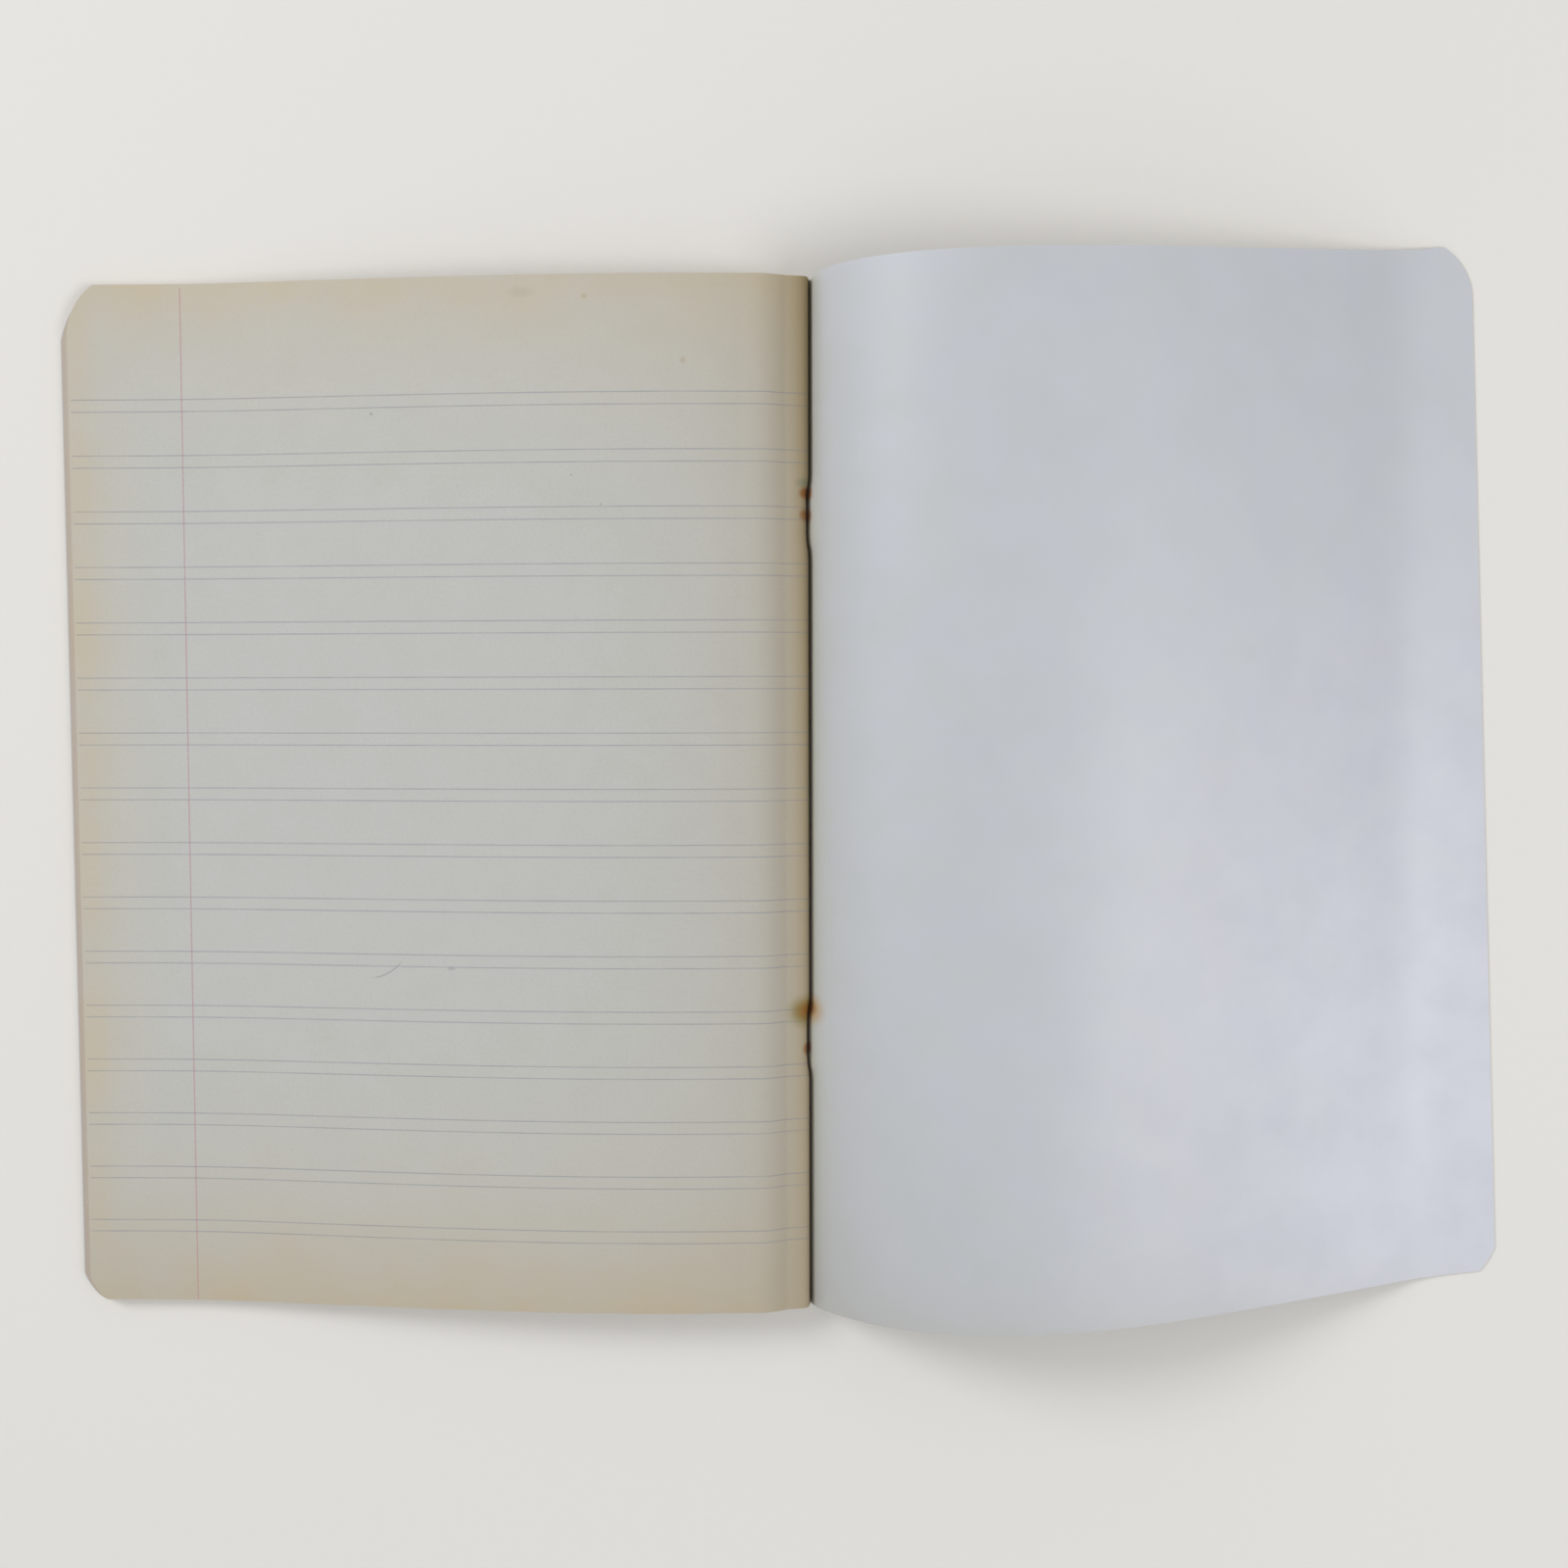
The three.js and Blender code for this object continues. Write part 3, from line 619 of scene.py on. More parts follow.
def shell(book, name, points, normals, thickness, s, finishes):
    """A closed thin sheet: the middle surface moved half its thickness to both sides along its
    normals, and joined by a rim round the four sides.

    The map "sheet" holds the distance along the sheet and the height above its lower edge,
    both in metres. The finishes are for the upper side, the lower side and the cut edges.
    """
    points = pulled(book, points)
    nu, nv = points.shape[:2]
    count = nu * nv
    top = points + normals * thickness / 2
    bottom = points - normals * thickness / 2
    vertices = to_frame(book, np.concatenate([top.reshape(-1, 3), bottom.reshape(-1, 3)]))
    grid = np.arange(count).reshape(nu, nv)
    a, b, c, d = grid[:-1, :-1], grid[1:, :-1], grid[1:, 1:], grid[:-1, 1:]
    upper = np.stack([a, b, c, d], -1).reshape(-1, 4)
    lower = upper[:, ::-1] + count
    ring = np.concatenate([grid[:, 0], grid[-1, 1:], grid[-2::-1, -1], grid[0, -2:0:-1]])
    on = np.roll(ring, -1)
    rim = np.stack([ring, ring + count, on + count, on], -1)
    across = np.cross(points[1, 0] - points[0, 0], points[0, 1] - points[0, 0])
    if across @ normals[0, 0] < 0:
        upper, lower, rim = upper[:, ::-1], lower[:, ::-1], rim[:, ::-1]
    faces = np.concatenate([upper, lower, rim])
    mesh = bpy.data.meshes.new(name)
    mesh.from_pydata(vertices, [], faces)
    side = np.concatenate([np.zeros(len(upper)), np.ones(len(lower)), np.full(len(rim), 2)])
    mesh.polygons.foreach_set("material_index", side.astype(np.int32))
    mesh.polygons.foreach_set("use_smooth", np.ones(len(faces), bool))
    mesh.set_sharp_from_angle(angle=math.radians(50))
    height = points[..., 1] + book.page_height / 2
    place = np.stack([s[:, None] * np.ones_like(height), height], -1).reshape(-1, 2)
    corner = np.empty(len(mesh.loops), np.int32)
    mesh.loops.foreach_get("vertex_index", corner)
    mapped = np.concatenate([place, place])[corner].astype(np.float32)
    mesh.uv_layers.new(name="sheet").data.foreach_set("uv", mapped.ravel())
    for material in finishes:
        mesh.materials.append(material)
    mesh.update()
    piece = bpy.data.objects.new(name, mesh)
    bpy.context.scene.collection.objects.link(piece)
    return piece


def bend(book, piece, a, b, start, end):
    """Bakes the piece's transform into its mesh. Start and end, given as x, y and z, are moved
    into the frame and left unused, so the piece follows no body.

    The bodies a and b are not used.
    """
    first, last = to_frame(book, np.array([start, end]))
    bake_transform(piece)


def back_cover_edges(book):
    """Top and bottom edge of the back cover, with their tangents, at even shares of its width.

    Each edge adds up short steps along its headings. All headings but the first are eased by
    one small angle, found by halving, until the fore edge comes down on the table.
    """
    spine = spine_of(book)
    arch = arch_length(book)
    u = (np.arange(ARCH_STEPS) + 0.5) / ARCH_STEPS
    start = round_fold(book, COVER_START_ANGLE, spine.cover)
    settle = np.minimum(1, u / ARCH_SETTLE)
    edges = []
    for column in (1, 2):
        heading = through(ARCH_HEADINGS, u, column)
        low, high = -ARCH_EASE_LIMIT, ARCH_EASE_LIMIT
        for _ in range(ARCH_HALVINGS):
            middle = (low + high) / 2
            climb = np.sum(np.sin(np.radians(heading + middle * settle)))
            end = start[1] + climb * arch / ARCH_STEPS
            if end < book.card / 2 + COVER_TABLE_GAP:
                low = middle
            else:
                high = middle
        turn = np.radians(heading + (low + high) / 2 * settle)
        ways = (np.concatenate([[0], np.cumsum(step)]) for step in (np.cos(turn), np.sin(turn)))
        x, z = (first + way * arch / ARCH_STEPS for first, way in zip(start, ways))
        edges.append((x, z, np.gradient(x), np.gradient(z)))
    return edges


def arch_length(book):
    """Width of the back cover from the end of its fold to the fore edge."""
    return book.page_width - spine_of(book).cover * math.radians(COVER_START_ANGLE - STAPLE_ANGLE)


def back_cover_grid(book, u, rows):
    """Middle surface and normals of the back cover at shares u of its width.

    A straight ruling joins the bottom edge to the top edge. Towards the fore edge the rulings
    drift up the page, and the two ends are brought in at the cut corners.
    """
    knots = np.linspace(0, 1, ARCH_STEPS + 1)
    top, bottom = back_cover_edges(book)
    ends = []
    for x, z, tx, tz in (bottom, top):
        size = np.hypot(tx, tz)
        parts = [x, z, -tz / size, tx / size]
        ends.append([np.interp(u, knots, part) for part in parts])
    (bx, bz, bnx, bnz), (ax, az, anx, anz) = ends
    drift = FORE_EDGE_DRIFT * np.maximum(0, (u - DRIFT_START) / (1 - DRIFT_START)) ** 2
    reach = np.sqrt(book.page_height**2 - (ax - bx) ** 2 - (az - bz) ** 2) / 2
    d = (1 - u) * arch_length(book)
    first = bottom_cut(d) / book.page_height
    last = 1 - top_cut(d) / book.page_height
    v = first[:, None] + (last - first)[:, None] * rows[None, :]

    def between(a, b):
        return a[:, None] + (b - a)[:, None] * v

    points = [between(bx, ax), between(drift - reach, drift + reach), between(bz, az)]
    normals = [between(bnx, anx), 0 * v, between(bnz, anz)]
    return np.stack(points, -1), np.stack(normals, -1)


def node(tree, kind, links=None, **settings):
    """Adds a shader node with its settings, and fills its inputs with values or other outputs."""
    made = tree.nodes.new("ShaderNode" + kind)
    for key, value in settings.items():
        setattr(made, key, value)
    for key, value in (links or {}).items():
        if isinstance(value, bpy.types.NodeSocket):
            tree.links.new(value, made.inputs[key])
        else:
            made.inputs[key].default_value = value
    return made


def material(name, roughness, **sockets):
    """A new material with its shader, whose even values are set on its own sockets."""
    made = bpy.data.materials.new(name)
    made.use_nodes = True
    tree = made.node_tree
    shader = tree.nodes["Principled BSDF"]
    shader.inputs["Roughness"].default_value = roughness
    for key, value in sockets.items():
        shader.inputs[key.replace("_", " ")].default_value = value
    return made, tree, shader


def sheet_place(tree):
    """Distance along the sheet and height above its lower edge, in millimetres."""
    uv = node(tree, "UVMap", uv_map="sheet").outputs["UV"]
    scaled = node(tree, "VectorMath", {0: uv, 1: [1 / MM] * 3}, operation="MULTIPLY").outputs[0]
    parts = node(tree, "SeparateXYZ", {0: scaled})
    return scaled, parts.outputs["X"], parts.outputs["Y"]


def far_edges(tree, book, width, along, height):
    """Distances from the fore edge and from the upper edge, in millimetres."""
    whole = ((width, along), (book.page_height / MM, height))
    return [node(tree, "Math", {0: a, 1: b}, operation="SUBTRACT").outputs[0] for a, b in whole]


def patches(tree, place, noise, levels):
    """Cloudy patches: noise of a given number a unit, detail and roughness. The first two levels
    are values of the noise, and the last two are the tones that they get.
    """
    scale, detail, roughness = noise
    looks = {"Vector": place, "Scale": scale, "Detail": detail, "Roughness": roughness}
    ends = dict(zip(("From Min", "From Max", "To Min", "To Max"), levels))
    return node(tree, "MapRange", {0: node(tree, "TexNoise", looks).outputs[0], **ends}).outputs[0]


def relief(tree, shader, heights):
    """Bump from one or more patterns, each with its strength and its depth in millimetres."""
    under = {}
    for height, strength, depth in heights:
        sockets = {"Strength": strength, "Distance": depth * MM, "Height": height}
        under = {"Normal": node(tree, "Bump", {**sockets, **under}).outputs[0]}
    tree.links.new(under["Normal"], shader.inputs["Normal"])


def fading(tree, distance, start, reach, strength):
    """A tone that is even up to start and then falls by a factor e over each reach of distance."""
    beyond = node(tree, "Math", {0: distance, 1: start}, operation="SUBTRACT").outputs[0]
    beyond = node(tree, "Math", {0: beyond, 1: 0}, operation="MAXIMUM").outputs[0]
    depth = node(tree, "Math", {0: beyond, 1: -1 / reach}, operation="MULTIPLY").outputs[0]
    power = node(tree, "Math", {0: math.e, 1: depth}, operation="POWER").outputs[0]
    return joined(tree, [power, strength], "MULTIPLY")


def joined(tree, values, operation="ADD"):
    """Several tones taken together, by default as their sum, never above one."""
    result = values[0]
    for value in values[1:]:
        step = node(tree, "Math", {0: result, 1: value}, operation=operation, use_clamp=True)
        result = step.outputs[0]
    return result


def spot(tree, place, at, size, soft, strength):
    """A round or oval mark at a place on the sheet, its edge soft by a share of its size."""
    moved = node(tree, "VectorMath", {0: place, 1: (*at, 0)}, operation="SUBTRACT").outputs[0]
    shrink = (1 / size[0], 1 / size[1], 0)
    flat = node(tree, "VectorMath", {0: moved, 1: shrink}, operation="MULTIPLY").outputs[0]
    out = node(tree, "VectorMath", {0: flat}, operation="LENGTH").outputs["Value"]
    edge = {0: out, "From Min": 1 - soft, "From Max": 1 + soft, "To Min": strength, "To Max": 0}
    return node(tree, "MapRange", edge, interpolation_type="SMOOTHSTEP").outputs[0]


def marks(tree, book, place, rows, own=None):
    """Spots on a sheet, as layers. A row holds the place along the sheet and up from its middle,
    half the width and half the height, softness, strength and colour, which may be left to own.
    """
    half = book.page_height / MM / 2
    layers = []
    for along, up, across, tall, soft, strength, *colour in rows:
        tone = spot(tree, place, (along, half + up), (across, tall), soft, strength)
        layers.append((linear(colour[0]) if colour else own, tone))
    return layers


def layered(tree, ground, layers):
    """Lays colours over a ground colour, each by its own mask."""
    result = ground
    for colour, mask in layers:
        mix = node(tree, "Mix", {0: mask, 6: result, 7: colour}, data_type="RGBA")
        result = mix.outputs[2]
    return result


def printed_line(tree, offset, half_width, wear):
    """A printed line where the offset from it is within half its width, worn by the wear."""
    away = node(tree, "Math", {0: offset}, operation="ABSOLUTE").outputs[0]
    full, none = half_width * INK_SOFTNESS[0], half_width * INK_SOFTNESS[1]
    edge = {0: away, "From Min": full, "From Max": none, "To Min": 1, "To Max": 0}
    line = node(tree, "MapRange", edge, interpolation_type="SMOOTHSTEP").outputs[0]
    return joined(tree, [line, wear], "MULTIPLY")


def ruled_print(tree, ruling, place, along, height, from_top, width):
    """Masks of the paired lines and of the margin line, in millimetres on the sheet."""
    rubbed = node(tree, "Mapping", {0: place, 3: INK_RUB}).outputs[0]
    wear = patches(tree, rubbed, (1, 3, 0.5), (0.3, 0.6, 0.62, 1))
    first, pitch, gap = (size / MM for size in (ruling.first_line, ruling.pitch, ruling.pair_gap))
    from_first = node(tree, "Math", {0: from_top, 1: first}, operation="SUBTRACT").outputs[0]
    pair = []
    for step in (0, gap):
        near = node(tree, "Math", {0: from_first, 1: step}, operation="SUBTRACT").outputs[0]
        half = node(tree, "Math", {0: near, 1: pitch / 2}, operation="ADD").outputs[0]
        turn = node(tree, "Math", {0: half, 1: pitch}, operation="FLOORED_MODULO").outputs[0]
        offset = node(tree, "Math", {0: turn, 1: pitch / 2}, operation="SUBTRACT").outputs[0]
        pair.append(printed_line(tree, offset, ruling.line_width / MM / 2, wear))
    last = (ruling.pairs - 1) * pitch + gap
    limits = (
        (from_first, -LINE_SPARE, "GREATER_THAN"),
        (from_first, last + LINE_SPARE, "LESS_THAN"),
        (along, width - LINE_END, "LESS_THAN"),
        (from_top, MARGIN_START, "GREATER_THAN"),
    )
    *inside, under_top = (
        node(tree, "Math", {0: where, 1: limit}, operation=test).outputs[0]
        for where, limit, test in limits
    )
    lean = node(tree, "Math", {0: height, 1: MARGIN_LEAN}, operation="MULTIPLY").outputs[0]
    leant = node(tree, "Math", {0: along, 1: lean}, operation="ADD").outputs[0]
    margin_at = width - ruling.margin / MM
    from_margin = node(tree, "Math", {0: leant, 1: margin_at}, operation="SUBTRACT").outputs[0]
    margin = printed_line(tree, from_margin, ruling.line_width / MM * MARGIN_BREADTH, wear)
    lines = joined(tree, [joined(tree, pair), *inside], "MULTIPLY")
    return lines, joined(tree, [margin, under_top], "MULTIPLY")


def paper_age(tree, book, place, along, height, from_fore, from_top):
    """How much the paper has yellowed along its outer edges, and how much it is darkened in
    the gutter, partly by browning and partly as painted shade.
    """
    edges = [
        fading(tree, from_fore, 3, 7, 0.42),
        fading(tree, from_top, 2, 15, 0.46),
        fading(tree, height, 1, 17, 0.66),
    ]
    uneven = patches(tree, place, (PAPER_MOTTLE, 4, 0.6), (0.3, 0.7, 0.65, 1.3))
    # Gutter: browning of the paper together with painted shade by the fold.
    gutter = [fading(tree, along, 4.5, 6, 0.5), fading(tree, along, 4.5, 20, 0.36)]
    age = joined(tree, [joined(tree, edges, "MAXIMUM"), uneven], "MULTIPLY")
    tall = book.page_height / MM
    upward = {0: height, "From Min": 0, "From Max": tall, "To Min": 0.85, "To Max": 1.1}
    upward = node(tree, "MapRange", upward).outputs[0]
    return age, joined(tree, [joined(tree, gutter), upward], "MULTIPLY")


def writing_paper(book, ruling, colours, width, used):
    """Uncoated writing paper from a paper machine, ruled in pale ink.

    The eye sees a dull, slightly fibrous white that yellows towards the outer edges, where air
    and light reach it. In the gutter it browns and is darkened further by painted shade, dark
    brown deep in the fold, and painted shade greys it towards the lower edge. The used side is
    the last page, with the rust of the staples and a few specks and strokes.
    """
    name = "ruled_writing_paper" if used else "writing_paper"
    made, tree, shader = material(name, 0.92, Specular_IOR_Level=0.25)
    place, along, height = sheet_place(tree)
    from_fore, from_top = far_edges(tree, book, width, along, height)
    tufts = {"Vector": place, "Scale": PAPER_TUFTS, "Detail": 5.0, "Roughness": 0.75}
    waves = {"Vector": place, "Scale": PAPER_WAVES, "Detail": 2.0}
    tufts, waves = (node(tree, "TexNoise", looks).outputs[0] for looks in (tufts, waves))
    relief(tree, shader, [(tufts, 0.12, 0.02), (waves, 0.5, 0.8)])
    fleck = {0: tufts, "From Min": 0.42, "From Max": 0.72, "To Min": 0, "To Max": 0.11}
    age, gutter = paper_age(tree, book, place, along, height, from_fore, from_top)
    lines, margin = ruled_print(tree, ruling, place, along, height, from_top, width)
    layers = [
        (linear("#a5a294"), patches(tree, place, (PAPER_CLOUDS, 5, 0.65), (0.35, 0.75, 0, 0.1))),
        (linear("#8f8a7a"), node(tree, "MapRange", fleck).outputs[0]),
        (colours.paper_aged[:], age),
        # Browning and painted shade in the gutter.
        (colours.gutter[:], gutter),
        # Painted shade: the page greyer towards its lower edge.
        (linear("#a29c90"), fading(tree, height, 0, 24, 0.3)),
        # Painted shade: dark brown deep in the fold.
        (linear("#6a4f30"), fading(tree, along, 1.6, 0.6, 0.6)),
        (colours.ruling[:], joined(tree, [lines, 0.47], "MULTIPLY")),
        (colours.margin_ink[:], joined(tree, [margin, 0.55], "MULTIPLY")),
    ]
    if used:
        layers += marks(tree, book, place, PAGE_MARKS, colours.rust[:])
        layers.append((linear("#83848a"), pencil_stroke(tree, book, place)))
    else:
        layers.append((linear("#cabcb2"), fading(tree, from_fore, 0.5, 0.35, 0.5)))
    tree.links.new(layered(tree, colours.paper[:], layers), shader.inputs["Base Color"])
    return made


def pencil_stroke(tree, book, place):
    """A short faint arc of pencil: part of a ring, thin at both ends."""
    half = book.page_height / MM / 2
    centre = (PENCIL_CENTRE[0], half + PENCIL_CENTRE[1], 0)
    moved = node(tree, "VectorMath", {0: place, 1: centre}, operation="SUBTRACT").outputs[0]
    out = node(tree, "VectorMath", {0: moved}, operation="LENGTH").outputs["Value"]
    away = node(tree, "Math", {0: out, 1: PENCIL_RADIUS}, operation="SUBTRACT").outputs[0]
    stretch = spot(tree, place, (PENCIL_MIDDLE[0], half + PENCIL_MIDDLE[1]), (3.4, 2.8), 0.4, 0.45)
    return printed_line(tree, away, PENCIL_BREADTH / 2, stretch)


def cover_card_inside(book, colours):
    """Sulphate card, its uncoated inner side.

    The eye sees an even, faintly cloudy grey with a soft sheen. Towards the fore edge and the
    foot it is cooler, and brighter by painted light; painted light also makes it lighter beside
    the spine. Painted shade darkens the corner by the spine and the foot and lies dark brown in
    the fold, and a narrow band along the foot is greyer.
    """
    made, tree, shader = material("uncoated_cover_card", 0.42, Specular_IOR_Level=0.5)
    place, along, height = sheet_place(tree)
    fine = {"Vector": place, "Scale": CARD_TUFTS, "Detail": 4.0, "Roughness": 0.7}
    waves = {"Vector": place, "Scale": CARD_WAVES, "Detail": 2.0}
    fine, waves = (node(tree, "TexNoise", looks).outputs[0] for looks in (fine, waves))
    relief(tree, shader, [(fine, 0.1, 0.02), (waves, 0.4, 0.7)])
    # Painted light, partly the card's cooler tone: brighter and cooler towards the fore edge and
    # the foot.
    across = {0: along, "From Min": 40, "From Max": 130, "To Min": 0, "To Max": 1}
    down = {0: height, "From Min": 60, "From Max": 190, "To Min": 0.9, "To Max": 0.1}
    cool_and_lit = [node(tree, "MapRange", part).outputs[0] for part in (across, down)]
    # Painted shade: darker towards the corner by the spine and the foot.
    corner = [fading(tree, along, 0, 45, 0.9), fading(tree, height, 0, 42, 0.85)]
    layers = [
        # Painted light and cooler tone towards the fore edge and the foot.
        (colours.card_cool_and_lit[:], joined(tree, cool_and_lit, "MULTIPLY")),
        (linear("#c1c4d0"), patches(tree, place, (CARD_TINT, 3, 0.5), (0.4, 0.65, 0, 0.4))),
        (linear("#abadb0"), patches(tree, place, (CARD_CLOUDS, 5, 0.6), (0.4, 0.75, 0, 0.16))),
        # Painted light: lighter beside the spine.
        (linear("#dddddb"), fading(tree, along, 4, 10, 0.33)),
        (linear("#c6c6a8"), fading(tree, along, 3.5, 3.5, 0.45)),
        # Painted shade at the corner by the spine and the foot.
        (linear("#a6a7a6"), joined(tree, corner, "MULTIPLY")),
        (linear("#b0ada0"), fading(tree, height, 0, 5, 0.3)),
        # Painted shade: dark brown in the fold.
        (linear("#5a4232"), fading(tree, along, 1.2, 0.25, 0.5)),
        *marks(tree, book, place, CARD_MARKS),
    ]
    tree.links.new(layered(tree, colours.card_inside[:], layers), shader.inputs["Base Color"])
    return made


def cover_card_outside(book, colours):
    """The coated outer side of the card.

    The eye sees a smoother grey with the soft gloss of the coating, dulled where it is scuffed,
    paler where edges and fold are rubbed through it, with rust showing over the staples.
    """
    made, tree, shader = material("coated_cover_card", 0.42, Specular_IOR_Level=0.5)
    place, along, height = sheet_place(tree)
    from_fore, from_top = far_edges(tree, book, book.page_width / MM, along, height)
    scuff = {"Vector": place, "Scale": SCUFFS, "Detail": 6.0, "Roughness": 0.75}
    scuff = node(tree, "TexNoise", scuff).outputs[0]
    relief(tree, shader, [(scuff, 0.08, 0.02)])
    rubbed = {0: scuff, "From Min": 0.35, "From Max": 0.7, "To Min": 0.35, "To Max": 0.6}
    rubbed = node(tree, "MapRange", rubbed).outputs[0]
    tree.links.new(rubbed, shader.inputs["Roughness"])
    wear = [
        fading(tree, along, 0, 3, 0.8),
        fading(tree, from_fore, 0, 1.4, 0.6),
        fading(tree, from_top, 0, 1.2, 0.5),
        fading(tree, height, 0, 1.2, 0.5),
    ]
    turned = node(tree, "Mapping", {0: place, 2: (0, 0, SCRATCH_TURN), 3: SCRATCHES}).outputs[0]
    stains = [(0.3, m / MM, 1.6, 7.2, 0.6, 0.35, "#a8713a") for m in staple_middles(book)]
    layers = [
        (linear("#a7a298"), patches(tree, place, (COATING_CLOUDS, 5, 0.65), (0.4, 0.75, 0, 0.2))),
        (linear("#dcd9d2"), patches(tree, turned, (1, 4, 0.8), (0.62, 0.72, 0, 0.3))),
        (linear("#ddd6c8"), joined(tree, [joined(tree, wear), rubbed], "MULTIPLY")),
        *marks(tree, book, place, stains),
    ]
    tree.links.new(layered(tree, colours.card_outside[:], layers), shader.inputs["Base Color"])
    return made


def cut_edge(name, colour, pitch):
    """Edge of paper or card, cut by a guillotine.

    The eye sees its pale core, streaked along the cut, each leaf a little different.
    """
    made, tree, shader = material(name, 0.95, Specular_IOR_Level=0.2)
    place = node(tree, "TexCoord").outputs["Object"]
    streak = node(tree, "Mapping", {0: place, 3: (CUT_STREAKS, CUT_STREAKS, 1 / pitch)}).outputs[0]
    tone = patches(tree, streak, (1, 4, 0.5), (0.35, 0.7, 0, 0.4))
    base = layered(tree, colour, [(linear("#9a8a68"), tone)])
    tree.links.new(base, shader.inputs["Base Color"])
    return made


def staple_wire(colours):
    """Drawn steel wire.

    The eye sees dull grey metal with rough brown patches of rust where it touches the paper.
    """
    made, tree, shader = material("staple_steel_wire", 0.45, Metallic=1.0)
    place = node(tree, "TexCoord").outputs["Object"]
    patch = {"Vector": place, "Scale": RUST_PATCHES, "Detail": 5.0, "Roughness": 0.7}
    patch = node(tree, "TexNoise", patch).outputs[0]
    relief(tree, shader, [(patch, 0.4, 0.02)])
    rust = {0: patch, "From Min": 0.42, "From Max": 0.62, "To Min": 0, "To Max": 1}
    rust = node(tree, "MapRange", rust).outputs[0]
    base = layered(tree, colours.wire[:], [(colours.rust[:], rust)])
    tree.links.new(base, shader.inputs["Base Color"])
    for socket, bright, rusted in (("Metallic", 1, 0.1), ("Roughness", 0.35, 0.85)):
        tone = node(tree, "MapRange", {0: rust, "To Min": bright, "To Max": rusted}).outputs[0]
        tree.links.new(tone, shader.inputs[socket])
    return made


class NOTEBOOK_OT_leaves(bpy.types.Operator):
    """Makes the leaves under the last one, each from the middle of its fold to its fore edge"""

    bl_idname = "notebook.leaves"
    bl_label = "Leaves"

    def execute(self, context):
        book, ruling = context.scene.notebook_sizes, context.scene.notebook_ruling
        colours = context.scene.notebook_colours
        rows = rows_up(book, LEAF_ROWS)
        edge = cut_edge("cut_paper_edge", linear("#d6cabc"), book.paper)
        width = leaf_line(book, book.sheets)[2][-1]
        paper = writing_paper(book, ruling, colours, width / MM, used=False)
        finishes = [paper, paper, edge]
        spine = spine_of(book)
        ends = [(spine.x - out, 0, spine.z) for out in LEAF_BEND]
        for leaf in range(1, 2 * book.sheets):
            name = f"leaf_{leaf:02d}"
            x, z, s = leaf_line(book, leaf)
            x, z, s = with_columns(x, z, s, corner_steps(s[-1]), 0, s[-1])
            points, normals = sheet_grid(book, x, z, s, rows, s[-1], lower_top_cut)
            piece = shell(book, "paper_" + name, points, normals, book.paper, s, finishes)
            if leaf == 1:
                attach(piece, "spine")
            else:
                bend(book, piece, "spine", name, *ends)
            if leaf <= book.sheets:
                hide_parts(name, f"sheet_fold_{leaf:02d}")
            else:
                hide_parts(name)
        return {"FINISHED"}


class NOTEBOOK_OT_last_leaf(bpy.types.Operator):
    """Makes the ruled last leaf in three lengths, which meet at the fold and beyond it"""

    bl_idname = "notebook.last_leaf"
    bl_label = "Last leaf"

    def execute(self, context):
        book, ruling = context.scene.notebook_sizes, context.scene.notebook_ruling
        spine = spine_of(book)
        x, z, s = leaf_line(book, 2 * book.sheets)
        width = s[-1]
        page = writing_paper(book, ruling, context.scene.notebook_colours, width / MM, used=True)
        edge = cut_edge("cut_page_edge", linear("#cfc4ae"), book.paper)
        rows = rows_up(book, CURVED_ROWS)
        out, along = -x[FOLD_COLUMNS:], s[FOLD_COLUMNS:]
        at = [0, *[float(np.interp(cut - spine.x, out, along)) for cut in LAST_LEAF_CUTS], width]
        for i, (name, a, b, start, end, stands_for) in enumerate(LAST_LEAF_LENGTHS):
            px, pz, ps = with_columns(x, z, s, corner_steps(width), at[i], at[i + 1])
            points, normals = sheet_grid(book, px, pz, ps, rows, width, top_cut)
            piece = shell(book, name, points, normals, book.paper, ps, [page, page, edge])
            bend(book, piece, a, b, (spine.x - start, 0, spine.z), (spine.x - end, 0, spine.z))
            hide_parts(stands_for)
        return {"FINISHED"}


